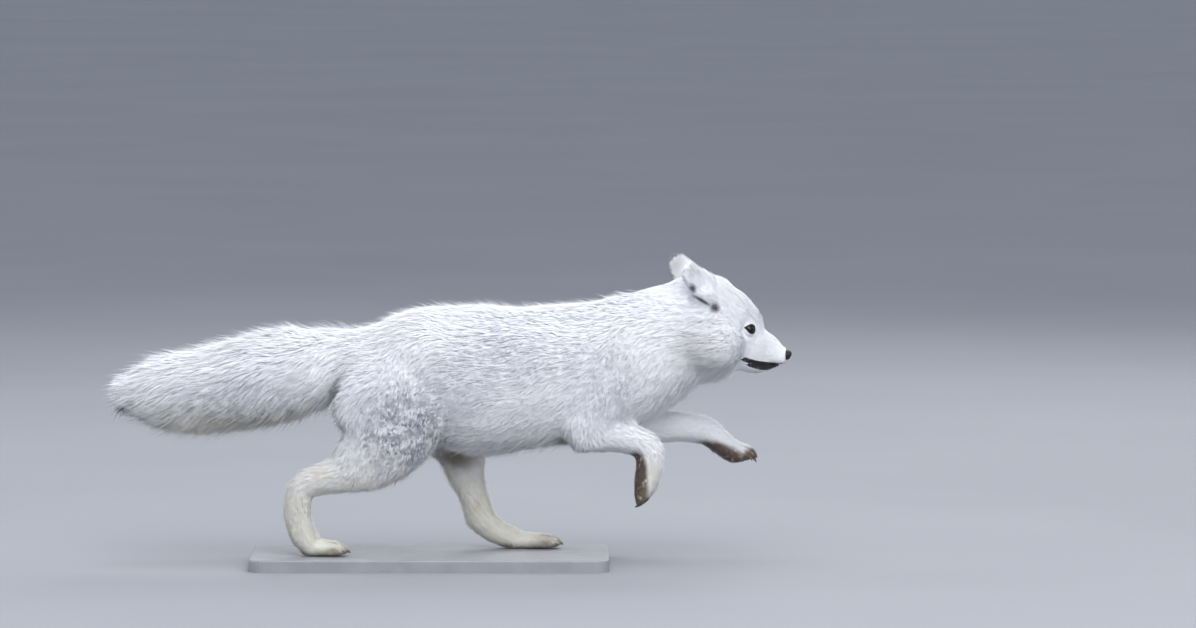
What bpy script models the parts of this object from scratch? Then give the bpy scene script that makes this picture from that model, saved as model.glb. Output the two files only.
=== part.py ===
"""A life-size arctic fox at a gallop, with both hind feet down, on a flat display stand.

The fox faces +X, its left side is +Y, and Z runs up from the underside of the stand.
Its solids give the outline of the coat. The body is modelled whole, from lofts and
ellipsoids that are fused and smoothed, and is then parted by thin cuts into the
pieces that a person would name. Heights in the tables are measured from the top of
the stand, and lengths are in metres.
"""

import math
from collections import namedtuple

import bmesh
import bpy
from mathutils import Matrix, Vector

# Display stand
STAND_LENGTH = 0.430
STAND_WIDTH = 0.210
STAND_HEIGHT = 0.015
STAND_CORNER = 0.018
STAND_EDGE = 0.002

# The fine gap between neighbouring pieces
GAP = 0.0003

# How far the round ends of a loft reach, as a share of its thinner half size
DOME_REACH = 0.8

# Fineness of the fused body, and where its coat is short and hides less of the form
FUSE_VOXEL = 0.0030
FINE_ROUNDS = 3
SOFT_ROUNDS = 18
SHORT_BLEND = 0.020
FACE_STARTS = 0.364
PAWS_AHEAD = 0.225
HIND_FEET_BELOW = 0.045
PAWS_BELOW = 0.120
BODY_TRIANGLES = 3350

# Head, in its own frame: u forwards along the muzzle, v to the fox's left, w up
HEAD_ORIGIN = (0.342, 0.010, 0.294)
HEAD_PITCH = math.radians(14.0)
HEAD_YAW = math.radians(11.0)
EYE_CENTRE = (0.0385, 0.0240, -0.0130)
EYE_RADIUS = 0.0085
NOSE_CENTRE = (0.0990, 0.0, -0.0355)
NOSE_RADII = (0.0075, 0.0085, 0.0075)

# The open mouth: a wedge from its corner to the front, as u and w, and its height there
MOUTH_CORNER = (0.037, -0.0515)
MOUTH_FRONT = (0.112, -0.0490)
MOUTH_OPEN = 0.0080
MOUTH_HALF_WIDTH = 0.0330
JAW_BACK = 0.0400
JAW_DEPTH = 0.060

# The left ear, in the head's frame: its base and tip, the way its hollow faces, and
# its sections as the share of its length, half thickness and half width
EAR_BASE = (-0.012, 0.034, 0.008)
EAR_TIP = (-0.0555, 0.046, 0.0500)
EAR_FACES = (0.25, 0.95, 0.15)
EAR_SECTIONS = [
    (0.00, 0.0110, 0.0160),
    (0.30, 0.0100, 0.0195),
    (0.60, 0.0080, 0.0180),
    (0.85, 0.0052, 0.0120),
]
EAR_HOLLOW_CENTRE = (0.52, 0.0125)
EAR_HOLLOW_RADII = (0.0240, 0.0135, 0.0110)

# A section across a limb, the trunk or the head: its centre, its half thickness in
# the plane of the limb, its half width, and how much narrower its top is
Section = namedtuple("Section", "x y z thick wide taper", defaults=(0.0,))

SPINE = [
    Section(-0.100, 0.000, 0.231, 0.036, 0.036),
    Section(-0.060, 0.000, 0.224, 0.058, 0.054),
    Section(-0.012, 0.000, 0.220, 0.078, 0.062),
    Section(0.060, 0.000, 0.208, 0.092, 0.068),
    Section(0.110, 0.000, 0.210, 0.087, 0.070),
    Section(0.156, 0.000, 0.2145, 0.0855, 0.070, 0.05),
    Section(0.204, 0.000, 0.2210, 0.0840, 0.067, 0.10),
    Section(0.240, 0.001, 0.234, 0.079, 0.062, 0.10),
    Section(0.270, 0.003, 0.248, 0.073, 0.058, 0.06),
    Section(0.300, 0.006, 0.264, 0.065, 0.055, 0.04),
    Section(0.328, 0.010, 0.279, 0.053, 0.048),
]

TAIL = [
    Section(-0.078, 0.000, 0.243, 0.030, 0.026),
    Section(-0.115, 0.000, 0.233, 0.039, 0.034),
    Section(-0.145, 0.001, 0.2215, 0.052, 0.045),
    Section(-0.204, 0.003, 0.2080, 0.0570, 0.051),
    Section(-0.268, 0.006, 0.1955, 0.0515, 0.047),
    Section(-0.316, 0.009, 0.1930, 0.0465, 0.041),
    Section(-0.343, 0.010, 0.1922, 0.0395, 0.033),
    Section(-0.362, 0.010, 0.1918, 0.0285, 0.022),
]

# Right hind leg: pushed back, with the hock high and the foot flat
RIGHT_THIGH = [
    Section(-0.043, -0.034, 0.225, 0.048, 0.028),
    Section(-0.045, -0.042, 0.190, 0.066, 0.035),
    Section(-0.049, -0.046, 0.155, 0.066, 0.034),
    Section(-0.062, -0.049, 0.126, 0.047, 0.030),
    Section(-0.092, -0.050, 0.104, 0.029, 0.024),
]
RIGHT_SHANK = [
    Section(-0.070, -0.050, 0.112, 0.034, 0.026),
    Section(-0.098, -0.050, 0.101, 0.025, 0.021),
    Section(-0.124, -0.050, 0.094, 0.0195, 0.0175),
    Section(-0.148, -0.050, 0.087, 0.0170, 0.0150),
]
RIGHT_METATARSUS = [
    Section(-0.153, -0.050, 0.083, 0.0165, 0.0140),
    Section(-0.1590, -0.050, 0.058, 0.0165, 0.0130),
    Section(-0.1535, -0.049, 0.032, 0.0160, 0.0140),
    Section(-0.1450, -0.049, 0.016, 0.0150, 0.0160),
]
RIGHT_FOOT = [
    Section(-0.146, -0.049, 0.0100, 0.0115, 0.0150),
    Section(-0.126, -0.049, 0.0095, 0.0110, 0.0180),
    Section(-0.110, -0.049, 0.0080, 0.0100, 0.0170),
]

# Left hind leg: swung forwards, with the hock low
LEFT_THIGH = [
    Section(-0.035, 0.034, 0.225, 0.046, 0.028),
    Section(-0.015, 0.041, 0.190, 0.058, 0.034),
    Section(0.015, 0.045, 0.158, 0.048, 0.032),
    Section(0.034, 0.047, 0.130, 0.038, 0.027),
]
LEFT_SHANK = [
    Section(0.034, 0.047, 0.130, 0.036, 0.025),
    Section(0.041, 0.047, 0.092, 0.0240, 0.019),
    Section(0.050, 0.047, 0.068, 0.0180, 0.0165),
    Section(0.057, 0.046, 0.045, 0.0185, 0.0155),
]
LEFT_METATARSUS = [
    Section(0.056, 0.046, 0.0415, 0.0180, 0.0145),
    Section(0.076, 0.046, 0.0225, 0.0150, 0.0140),
    Section(0.104, 0.046, 0.0100, 0.0115, 0.0150),
]
LEFT_FOOT = [
    Section(0.098, 0.046, 0.0100, 0.0115, 0.0145),
    Section(0.124, 0.046, 0.0090, 0.0105, 0.0175),
    Section(0.144, 0.046, 0.0080, 0.0100, 0.0170),
]

# Right foreleg: gathered, with the paw hanging from a bent wrist
RIGHT_UPPER_ARM = [
    Section(0.220, -0.040, 0.225, 0.040, 0.024),
    Section(0.206, -0.046, 0.190, 0.040, 0.027),
    Section(0.184, -0.048, 0.155, 0.029, 0.024),
]
RIGHT_FOREARM = [
    Section(0.180, -0.048, 0.152, 0.027, 0.022),
    Section(0.214, -0.047, 0.148, 0.0225, 0.020),
    Section(0.240, -0.046, 0.141, 0.0185, 0.0170),
    Section(0.260, -0.045, 0.132, 0.0175, 0.0155),
]
RIGHT_PAW = [
    Section(0.2625, -0.045, 0.130, 0.0175, 0.0150),
    Section(0.2640, -0.045, 0.108, 0.0155, 0.0155),
    Section(0.2595, -0.045, 0.087, 0.0145, 0.0175),
    Section(0.2540, -0.045, 0.072, 0.0105, 0.0160),
]

# Left foreleg: reaching forwards
LEFT_UPPER_ARM = [
    Section(0.222, 0.040, 0.225, 0.040, 0.024),
    Section(0.224, 0.045, 0.190, 0.038, 0.026),
    Section(0.228, 0.047, 0.158, 0.028, 0.023),
]
LEFT_FOREARM = [
    Section(0.226, 0.047, 0.150, 0.027, 0.022),
    Section(0.262, 0.046, 0.149, 0.0215, 0.0195),
    Section(0.300, 0.045, 0.1475, 0.0180, 0.0165),
    Section(0.330, 0.044, 0.1440, 0.0170, 0.0155),
]
LEFT_PAW = [
    Section(0.332, 0.044, 0.1430, 0.0165, 0.0150),
    Section(0.349, 0.044, 0.1310, 0.0150, 0.0155),
    Section(0.366, 0.044, 0.1210, 0.0135, 0.0175),
    Section(0.380, 0.044, 0.1140, 0.0105, 0.0160),
]

# Skull and muzzle in the head's frame, as top and bottom heights along u
SkullSection = namedtuple("SkullSection", "u top bottom wide taper")
SKULL = [
    SkullSection(0.0950, -0.0300, -0.0545, 0.0110, 0.05),
    SkullSection(0.0850, -0.0250, -0.0590, 0.0145, 0.10),
    SkullSection(0.0730, -0.0185, -0.0630, 0.0175, 0.15),
    SkullSection(0.0620, -0.0115, -0.0660, 0.0215, 0.20),
    SkullSection(0.0530, -0.0035, -0.0685, 0.0250, 0.20),
    SkullSection(0.0450, 0.0060, -0.0715, 0.0295, 0.22),
    SkullSection(0.0350, 0.0165, -0.0750, 0.0355, 0.24),
    SkullSection(0.0200, 0.0280, -0.0800, 0.0445, 0.20),
    SkullSection(0.0000, 0.0350, -0.0840, 0.0510, 0.12),
    SkullSection(-0.0220, 0.0365, -0.0790, 0.0500, 0.05),
    SkullSection(-0.0420, 0.0300, -0.0660, 0.0430, 0.05),
]

# Ellipsoids of flesh and coat: centre, radii
Mass = namedtuple("Mass", "centre radii")
HEAD_MASSES = [
    Mass((0.000, 0.030, -0.044), (0.044, 0.029, 0.034)),
    Mass((0.000, -0.030, -0.044), (0.044, 0.029, 0.034)),
    Mass((-0.010, 0.024, 0.006), (0.034, 0.021, 0.024)),
    Mass((-0.010, -0.024, 0.006), (0.034, 0.021, 0.024)),
    Mass((0.080, 0.0070, -0.0430), (0.0165, 0.0095, 0.0085)),
    Mass((0.080, -0.0070, -0.0430), (0.0165, 0.0095, 0.0085)),
]
BODY_MASSES = [
    Mass((0.336, 0.010, 0.244), (0.044, 0.042, 0.042)),
    Mass((0.215, 0.000, 0.205), (0.060, 0.056, 0.060)),
    Mass((0.205, -0.030, 0.220), (0.060, 0.033, 0.062)),
    Mass((0.205, 0.030, 0.220), (0.060, 0.033, 0.062)),
    Mass((-0.045, 0.000, 0.215), (0.060, 0.060, 0.058)),
]

# Toes: how far each one sits to the side and ahead, and its radii
TOES = [(-0.0125, -0.0060), (-0.0044, 0.0), (0.0044, 0.0), (0.0125, -0.0060)]
TOE_AHEAD = 0.0035
TOE_RADII = (0.0120, 0.0054, 0.0070)
CLAW_START = 0.0080
CLAW_LENGTH = 0.0070
CLAW_RADII = (0.0015, 0.0005)
CLAW_DROOP = math.radians(22.0)

# Where the body is parted. A block starts at a plane through a point, square to a
# direction in the XZ plane, and takes what lies ahead of it: the point, the angle of
# the direction above +X, its length and half height, and its two sides as y values
Block = namedtuple("Block", "x z angle length half low_y high_y")
RIGHT_SIDE = (-0.110, -0.010)
LEFT_SIDE = (0.010, 0.110)
RIGHT_ARM = (-0.110, -0.024)
LEFT_ARM = (0.024, 0.110)
BOTH_SIDES = (-0.120, 0.120)
BLOCKS = {
    "tail": Block(-0.118, 0.225, 180.0, 0.300, 0.085, *BOTH_SIDES),
    "hind_right_foot": Block(-0.135, 0.0240, -90.0, 0.060, 0.060, *RIGHT_SIDE),
    "hind_right_metatarsus": Block(-0.160, 0.0710, -90.0, 0.060, 0.045, *RIGHT_SIDE),
    "hind_right_shank": Block(-0.0970, 0.1010, 198.0, 0.110, 0.030, *RIGHT_SIDE),
    "hind_left_foot": Block(0.101, 0.020, 0.0, 0.090, 0.035, *LEFT_SIDE),
    "hind_left_metatarsus": Block(0.070, 0.0470, -80.0, 0.090, 0.060, *LEFT_SIDE),
    "hind_left_shank": Block(0.045, 0.1030, -75.0, 0.090, 0.050, *LEFT_SIDE),
    "fore_right_paw": Block(0.263, 0.1170, -90.0, 0.090, 0.040, *RIGHT_SIDE),
    "fore_right_forearm": Block(0.199, 0.1480, -10.0, 0.110, 0.028, *RIGHT_ARM),
    "fore_left_paw": Block(0.335, 0.1410, -30.0, 0.110, 0.035, *LEFT_SIDE),
    "fore_left_forearm": Block(0.248, 0.1490, -3.0, 0.120, 0.026, *LEFT_ARM),
    "head": Block(0.315, 0.277, 30.0, 0.200, 0.115, *BOTH_SIDES),
    "neck": Block(0.262, 0.246, 27.0, 0.120, 0.082, *BOTH_SIDES),
}

# An ellipsoid of flesh that a limb takes out of the trunk, and a box for what is below
Root = namedtuple("Root", "centre radii low high")
ROOTS = {
    "hind_right_thigh": Root(
        (-0.047, -0.072, 0.160), (0.080, 0.062, 0.088), (-0.130, -0.110, 0.060), (-0.010, -0.012, 0.130)
    ),
    "hind_left_thigh": Root(
        (0.000, 0.072, 0.165), (0.078, 0.062, 0.088), (-0.050, 0.020, 0.080), (0.085, 0.110, 0.118)
    ),
    "fore_right_upper_arm": Root(
        (0.195, -0.070, 0.184), (0.060, 0.050, 0.074), (0.160, -0.110, 0.110), (0.200, -0.040, 0.134)
    ),
    "fore_left_upper_arm": Root(
        (0.226, 0.070, 0.184), (0.056, 0.050, 0.074), (0.195, 0.040, 0.110), (0.250, 0.110, 0.134)
    ),
}

# Each finish's colour and roughness, and the pieces that aren't plain white coat
FINISHES = {
    "white_coat": ((0.80, 0.81, 0.84, 1.0), 0.90),
    "cream_coat": ((0.72, 0.66, 0.55, 1.0), 0.90),
    "muddy_coat": ((0.30, 0.20, 0.13, 1.0), 0.85),
    "nose_skin": ((0.025, 0.022, 0.024, 1.0), 0.45),
    "dark_eye": ((0.020, 0.014, 0.010, 1.0), 0.08),
    "stand_paint": ((0.30, 0.31, 0.33, 1.0), 0.55),
}
FINISH_OF = {
    "tail": "cream_coat",
    "hind_right_foot": "cream_coat",
    "hind_left_foot": "cream_coat",
    "fore_right_paw": "muddy_coat",
    "fore_left_paw": "muddy_coat",
    "nose": "nose_skin",
    "eye_right": "dark_eye",
    "eye_left": "dark_eye",
    "stand_base": "stand_paint",
}


def clear_scene():
    for obj in list(bpy.data.objects):
        bpy.data.objects.remove(obj)


def collection(name):
    made = bpy.data.collections.new(name)
    bpy.context.scene.collection.children.link(made)
    return made


def material(name):
    made = bpy.data.materials.new(name)
    made.use_nodes = True
    colour, roughness = FINISHES[name]
    shader = made.node_tree.nodes["Principled BSDF"]
    shader.inputs["Base Color"].default_value = colour
    shader.inputs["Roughness"].default_value = roughness
    shader.inputs["Metallic"].default_value = 0.0
    return made


def linked(name, bm):
    mesh = bpy.data.meshes.new(name)
    bm.to_mesh(mesh)
    bm.free()
    obj = bpy.data.objects.new(name, mesh)
    bpy.context.scene.collection.objects.link(obj)
    return obj


def baked(obj):
    """The object with its modifiers applied."""
    graph = bpy.context.evaluated_depsgraph_get()
    mesh = bpy.data.meshes.new_from_object(obj.evaluated_get(graph))
    obj.modifiers.clear()
    obj.data = mesh
    return obj


def joined(name, objects):
    bm = bmesh.new()
    for obj in objects:
        bm.from_mesh(obj.data)
        bpy.data.objects.remove(obj)
    return linked(name, bm)


def boolean(obj, cutter, operation):
    """The object after a Boolean with the cutter, which goes to the cutters' collection."""
    bpy.context.scene.collection.objects.unlink(cutter)
    bpy.data.collections["cutters"].objects.link(cutter)
    cutter.hide_render = True
    cutter.display_type = "WIRE"
    modifier = obj.modifiers.new(operation.lower(), "BOOLEAN")
    modifier.operation = operation
    modifier.object = cutter
    modifier.solver = "EXACT"
    return baked(obj)


def copy_of(obj, name):
    made = bpy.data.objects.new(name, obj.data.copy())
    bpy.context.scene.collection.objects.link(made)
    return made


def spline(a, b, c, d, t):
    """A value between b and c on the smooth curve through a, b, c and d."""
    return 0.5 * (
        2 * b + (c - a) * t + (2 * a - 5 * b + 4 * c - d) * t**2 + (3 * b - a - 3 * c + d) * t**3
    )


def resampled(sections, steps):
    """The sections with steps - 1 more between each two, on smooth curves."""
    padded = [sections[0], *sections, sections[-1]]
    rows = []
    for i in range(len(sections) - 1):
        for k in range(steps):
            rows.append(Section(*(spline(*four, k / steps) for four in zip(*padded[i : i + 4]))))
    rows.append(sections[-1])
    return rows


def ring(bm, centre, side, up, section, scale, points):
    made = []
    for k in range(points):
        angle = 2 * math.pi * k / points
        across = math.cos(angle) * (1 - section.taper * math.sin(angle))
        offset = side * (section.wide * across) + up * (section.thick * math.sin(angle))
        made.append(bm.verts.new(centre + offset * scale))
    return made


def loft(name, sections, frame=Matrix.Identity(4), steps=4, points=20):
    """A closed tube through the sections, each square to the path, with round ends."""
    rows = resampled(sections, steps)
    centres = [Vector(row[:3]) for row in rows]
    dome = [(math.cos(math.radians(d)), math.sin(math.radians(d))) for d in (75, 50, 25)]
    last = len(rows) - 1
    bm = bmesh.new()
    rings = []
    for i, row in enumerate(rows):
        along = (centres[min(i + 1, last)] - centres[max(i - 1, 0)]).normalized()
        side = (Vector((0, 1, 0)) - along * along.y).normalized()
        up = along.cross(side)
        reach = along * DOME_REACH * min(row.thick, row.wide)
        if i == 0:
            for scale, out in dome:
                rings.append(ring(bm, centres[i] - reach * out, side, up, row, scale, points))
        rings.append(ring(bm, centres[i], side, up, row, 1.0, points))
        if i == last:
            for scale, out in reversed(dome):
                rings.append(ring(bm, centres[i] + reach * out, side, up, row, scale, points))
    for first, second in zip(rings, rings[1:]):
        for k in range(points):
            n = (k + 1) % points
            bm.faces.new((first[k], first[n], second[n], second[k]))
    bm.faces.new(rings[0])
    bm.faces.new(reversed(rings[-1]))
    bmesh.ops.recalc_face_normals(bm, faces=bm.faces)
    bm.transform(frame)
    return linked(name, bm)


def ellipsoid(name, centre, radii, frame=Matrix.Identity(4), segments=24):
    bm = bmesh.new()
    bmesh.ops.create_uvsphere(bm, u_segments=segments, v_segments=segments // 2, radius=1.0)
    bm.transform(frame @ Matrix.Translation(centre) @ Matrix.Diagonal((*radii, 1.0)))
    return linked(name, bm)


def box(name, low, high, frame=Matrix.Identity(4)):
    """A box between two corners given in frame."""
    low, high = Vector(low), Vector(high)
    bm = bmesh.new()
    bmesh.ops.create_cube(bm, size=1.0)
    bm.transform(frame @ Matrix.Translation((low + high) / 2) @ Matrix.Diagonal((*(high - low), 1.0)))
    return linked(name, bm)


def turned(along, side):
    """A turn whose X is along, whose Y is side, and whose Z is square to both."""
    return Matrix((along, side, along.cross(side))).transposed().to_4x4()


def head_frame():
    turn = Matrix.Rotation(HEAD_YAW, 4, "Z") @ Matrix.Rotation(HEAD_PITCH, 4, "Y")
    return Matrix.Translation(HEAD_ORIGIN) @ turn


def skull_sections():
    rows = []
    for row in reversed(SKULL):
        middle, thick = (row.top + row.bottom) / 2, (row.top - row.bottom) / 2
        rows.append(Section(row.u, 0.0, middle, thick, row.wide, row.taper))
    return rows


def foot_tips():
    """For each foot, a frame at its tip, with X along the foot and Z up from its sole."""
    frames = []
    for foot in (RIGHT_FOOT, LEFT_FOOT, RIGHT_PAW, LEFT_PAW):
        last, before = Vector(foot[-1][:3]), Vector(foot[-2][:3])
        along = (last - before).normalized()
        frames.append(Matrix.Translation(last) @ turned(along, Vector((0, 1, 0))))
    return frames


def toes():
    """Four toes round each foot's tip. The outer two sit a little further back."""
    made = []
    for frame in foot_tips():
        for across, ahead in TOES:
            centre = (ahead + TOE_AHEAD, across, 0.0)
            made.append(ellipsoid("toe", centre, TOE_RADII, frame=frame, segments=16))
    return made


def claws():
    """A small downturned cone at the end of every toe."""
    made = []
    lie = Matrix.Rotation(math.pi / 2 + CLAW_DROOP, 4, "Y")
    for frame in foot_tips():
        for across, ahead in TOES:
            start = Matrix.Translation((ahead + TOE_AHEAD + CLAW_START, across, 0.0))
            bm = bmesh.new()
            bmesh.ops.create_cone(
                bm, cap_ends=True, segments=6, depth=CLAW_LENGTH, radius1=CLAW_RADII[0], radius2=CLAW_RADII[1]
            )
            bm.transform(frame @ start @ lie @ Matrix.Translation((0, 0, CLAW_LENGTH / 2)))
            made.append(linked("claw", bm))
    return joined("claws", made)


def flesh():
    """The lofts and ellipsoids that make up the body, without ears, eyes and nose."""
    limbs = [
        SPINE,
        TAIL,
        RIGHT_THIGH,
        RIGHT_SHANK,
        RIGHT_METATARSUS,
        RIGHT_FOOT,
        LEFT_THIGH,
        LEFT_SHANK,
        LEFT_METATARSUS,
        LEFT_FOOT,
        RIGHT_UPPER_ARM,
        RIGHT_FOREARM,
        RIGHT_PAW,
        LEFT_UPPER_ARM,
        LEFT_FOREARM,
        LEFT_PAW,
    ]
    head = head_frame()
    made = [loft("limb", sections) for sections in limbs]
    made.append(loft("skull", skull_sections(), frame=head, points=28))
    made += [ellipsoid("mass", m.centre, m.radii, frame=head) for m in HEAD_MASSES]
    made += [ellipsoid("mass", m.centre, m.radii) for m in BODY_MASSES]
    return made + toes()


def smooth_step(low, high, value):
    t = max(0.0, min(1.0, (value - low) / (high - low)))
    return t * t * (3 - 2 * t)


def coat_softness(point):
    """1 where the coat is long and rounds every form, down to 0 on the face and feet."""
    face = 1 - smooth_step(FACE_STARTS, FACE_STARTS + SHORT_BLEND, point.x)
    feet_below = PAWS_BELOW if point.x > PAWS_AHEAD else HIND_FEET_BELOW
    return min(face, smooth_step(feet_below - SHORT_BLEND, feet_below, point.z))


def fused(name, objects):
    """One closed surface round all the objects, smoothest where the coat is long."""
    whole = joined(name, objects)
    remesh = whole.modifiers.new("fuse", "REMESH")
    remesh.mode = "VOXEL"
    remesh.voxel_size = FUSE_VOXEL
    baked(whole)
    soft = whole.vertex_groups.new(name="soft")
    for vertex in whole.data.vertices:
        soft.add([vertex.index], coat_softness(vertex.co), "REPLACE")
    for rounds, group in ((FINE_ROUNDS, ""), (SOFT_ROUNDS, "soft")):
        smooth = whole.modifiers.new("smooth", "SMOOTH")
        smooth.factor = 0.5
        smooth.iterations = rounds
        smooth.vertex_group = group
    return baked(whole)


def thinned(obj, triangles):
    """The object with about that many triangles, fewest where it is flat."""
    now = sum(len(face.vertices) - 2 for face in obj.data.polygons)
    decimate = obj.modifiers.new("thin", "DECIMATE")
    decimate.ratio = min(1.0, triangles / now)
    decimate.use_collapse_triangulate = True
    return baked(obj)


def eye(name, side, grow=0.0):
    u, v, w = EYE_CENTRE
    radius = EYE_RADIUS + grow
    return ellipsoid(name, (u, side * v, w), (radius,) * 3, frame=head_frame(), segments=12)


def nose(name, grow=0.0):
    radii = [radius + grow for radius in NOSE_RADII]
    return ellipsoid(name, NOSE_CENTRE, radii, frame=head_frame(), segments=12)


def ear(name, side, grow=0.0):
    """A leaf-shaped ear. Its hollow is cut only where it isn't grown into a cutter."""
    mirror = Vector((1, side, 1))
    base, tip = Vector(EAR_BASE) * mirror, Vector(EAR_TIP) * mirror
    along = (tip - base).normalized()
    out = Vector(EAR_FACES) * mirror
    out = (out - along * out.dot(along)).normalized()
    frame = head_frame() @ Matrix.Translation(base) @ turned(along, out.cross(along))
    length = (tip - base).length
    rows = [Section(t * length, 0.0, 0.0, thick + grow, wide + grow) for t, thick, wide in EAR_SECTIONS]
    made = loft(name, rows, frame=frame, steps=2, points=12)
    if not grow:
        share, height = EAR_HOLLOW_CENTRE
        centre = (share * length, 0.0, height)
        hollow = ellipsoid(name + "_hollow", centre, EAR_HOLLOW_RADII, frame=frame, segments=12)
        boolean(made, hollow, "DIFFERENCE")
    return made


def mouth():
    """A wedge that opens from the corner of the mouth to its front."""
    (back, low), (front, high) = MOUTH_CORNER, MOUTH_FRONT
    half = MOUTH_OPEN / 2
    outline = [(back, low), (front, high - half), (front, high + half)]
    bm = bmesh.new()
    ends = [[bm.verts.new((u, v, w)) for u, w in outline] for v in (-MOUTH_HALF_WIDTH, MOUTH_HALF_WIDTH)]
    bm.faces.new(ends[0])
    bm.faces.new(reversed(ends[1]))
    for k in range(3):
        n = (k + 1) % 3
        bm.faces.new((ends[0][k], ends[1][k], ends[1][n], ends[0][n]))
    bmesh.ops.recalc_face_normals(bm, faces=bm.faces)
    bm.transform(head_frame())
    return linked("mouth", bm)


def jaw_region(grow):
    back, low = MOUTH_CORNER
    front, high = MOUTH_FRONT
    level = low + (high - low) * (JAW_BACK - back) / (front - back)
    corner = (JAW_BACK - grow, -0.050, level - JAW_DEPTH)
    return box("jaw_region", corner, (front, 0.050, level + grow), frame=head_frame())


def block_region(block, grow):
    angle = math.radians(block.angle)
    along = Vector((math.cos(angle), 0, math.sin(angle)))
    frame = Matrix.Translation((block.x, 0, block.z)) @ turned(along, Vector((0, 1, 0)))
    low = (-grow, block.low_y - grow, -block.half - grow)
    high = (block.length, block.high_y + grow, block.half + grow)
    return box("block", low, high, frame=frame)


def root_region(root, grow):
    radii = [radius + grow for radius in root.radii]
    region = ellipsoid("root", root.centre, radii, segments=14)
    low = [value - grow for value in root.low]
    high = [value + grow for value in root.high]
    return boolean(region, box("below", low, high), "UNION")


def stand():
    """A flat plate with round corners and a fine bevel round its top."""
    size = Vector((STAND_LENGTH, STAND_WIDTH, STAND_HEIGHT))
    bm = bmesh.new()
    bmesh.ops.create_cube(bm, size=1.0)
    bm.transform(Matrix.Translation((0, 0, STAND_HEIGHT / 2)) @ Matrix.Diagonal((*size, 1.0)))
    upright = [edge for edge in bm.edges if abs(edge.verts[0].co.z - edge.verts[1].co.z) > STAND_EDGE]
    bmesh.ops.bevel(bm, geom=upright, offset=STAND_CORNER, segments=6, profile=0.5, affect="EDGES")
    top = [edge for edge in bm.edges if all(vert.co.z > STAND_HEIGHT - GAP for vert in edge.verts)]
    bmesh.ops.bevel(bm, geom=top, offset=STAND_EDGE, segments=2, profile=0.5, affect="EDGES")
    return linked("stand_base", bm)


def take(whole, name, region):
    """Part a piece off the whole. The region is a function of how far it is grown."""
    piece = boolean(copy_of(whole, name), region(0.0), "INTERSECT")
    boolean(whole, region(GAP), "DIFFERENCE")
    return piece


def build():
    whole = thinned(fused("trunk", flesh()), BODY_TRIANGLES)
    boolean(whole, claws(), "UNION")
    floor = box("floor", (-0.5, -0.2, -0.1), (0.5, 0.2, GAP))
    boolean(whole, floor, "DIFFERENCE")
    pieces = []
    for side, word in ((-1, "right"), (1, "left")):
        for shape, name in ((ear, "ear_"), (eye, "eye_")):
            pieces.append(shape(name + word, side))
            boolean(whole, shape("socket", side, grow=GAP), "DIFFERENCE")
    pieces.append(nose("nose"))
    boolean(whole, nose("socket", grow=GAP), "DIFFERENCE")
    boolean(whole, mouth(), "DIFFERENCE")
    pieces.append(take(whole, "lower_jaw", jaw_region))
    for name, block in BLOCKS.items():
        pieces.append(take(whole, name, lambda grow, block=block: block_region(block, grow)))
    for name, root in ROOTS.items():
        pieces.append(take(whole, name, lambda grow, root=root: root_region(root, grow)))
    pieces.append(whole)
    for piece in pieces:
        piece.data.transform(Matrix.Translation((0, 0, STAND_HEIGHT)))
    return pieces + [stand()]


def finish(pieces, parts):
    """Each piece in the fox's collection, in its material, and shaded smooth."""
    materials = {name: material(name) for name in FINISHES}
    for piece in pieces:
        bpy.context.scene.collection.objects.unlink(piece)
        parts.objects.link(piece)
        piece.data.materials.clear()
        piece.data.materials.append(materials[FINISH_OF.get(piece.name, "white_coat")])
        piece.data.shade_smooth()
        piece.data.set_sharp_from_angle(angle=math.radians(40.0))


clear_scene()
fox = collection("arctic_fox")
collection("cutters")
finish(build(), fox)
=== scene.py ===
"""Skin, coat, face and display base of a life-size arctic fox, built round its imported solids.

One skin replaces the nodes of flesh and lies inside them by the depth of the coat. The coat
is made of many small solid locks, in pieces by region, that follow the lie of the hair.
Lengths are metres. Colours are linear.
"""

import math
from collections import namedtuple
from contextlib import contextmanager

import bmesh
import bpy
import numpy as np
from bpy.props import FloatProperty, FloatVectorProperty, IntProperty, PointerProperty
from mathutils import Matrix, Vector
from mathutils.bvhtree import BVHTree


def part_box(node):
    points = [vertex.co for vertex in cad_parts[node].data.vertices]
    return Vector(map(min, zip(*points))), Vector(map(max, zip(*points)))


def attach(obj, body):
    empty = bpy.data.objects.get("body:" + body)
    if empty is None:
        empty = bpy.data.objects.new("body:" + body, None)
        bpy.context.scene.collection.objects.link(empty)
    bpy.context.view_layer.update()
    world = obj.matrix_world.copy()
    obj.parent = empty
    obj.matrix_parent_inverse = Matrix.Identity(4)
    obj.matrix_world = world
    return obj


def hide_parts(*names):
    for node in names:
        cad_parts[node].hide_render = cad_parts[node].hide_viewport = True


bl_info = {
    "name": "Arctic fox dresser",
    "version": (1, 0, 0),
    "blender": (4, 5, 0),
    "location": "View3D > Sidebar > Fox",
    "description": "Dresses the solids of an arctic fox in skin, eyes, nose and winter coat",
    "category": "Object",
}

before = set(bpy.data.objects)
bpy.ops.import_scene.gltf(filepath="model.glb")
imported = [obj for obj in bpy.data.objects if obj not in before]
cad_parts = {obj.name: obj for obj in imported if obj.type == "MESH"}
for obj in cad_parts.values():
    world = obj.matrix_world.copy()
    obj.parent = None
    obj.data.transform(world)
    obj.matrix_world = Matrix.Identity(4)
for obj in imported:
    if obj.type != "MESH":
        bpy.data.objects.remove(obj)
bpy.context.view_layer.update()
BODY = "root"

# Nodes that only help to shape the skin, and nodes that it replaces
FILLED = ["eye_left", "eye_right", "nose"]
FLESH = [name for name in sorted(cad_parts) if name not in (*FILLED, "stand_base")]
# Height of the base's top
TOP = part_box("stand_base")[1].z
SIDES = (("right", -1), ("left", 1))


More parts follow.
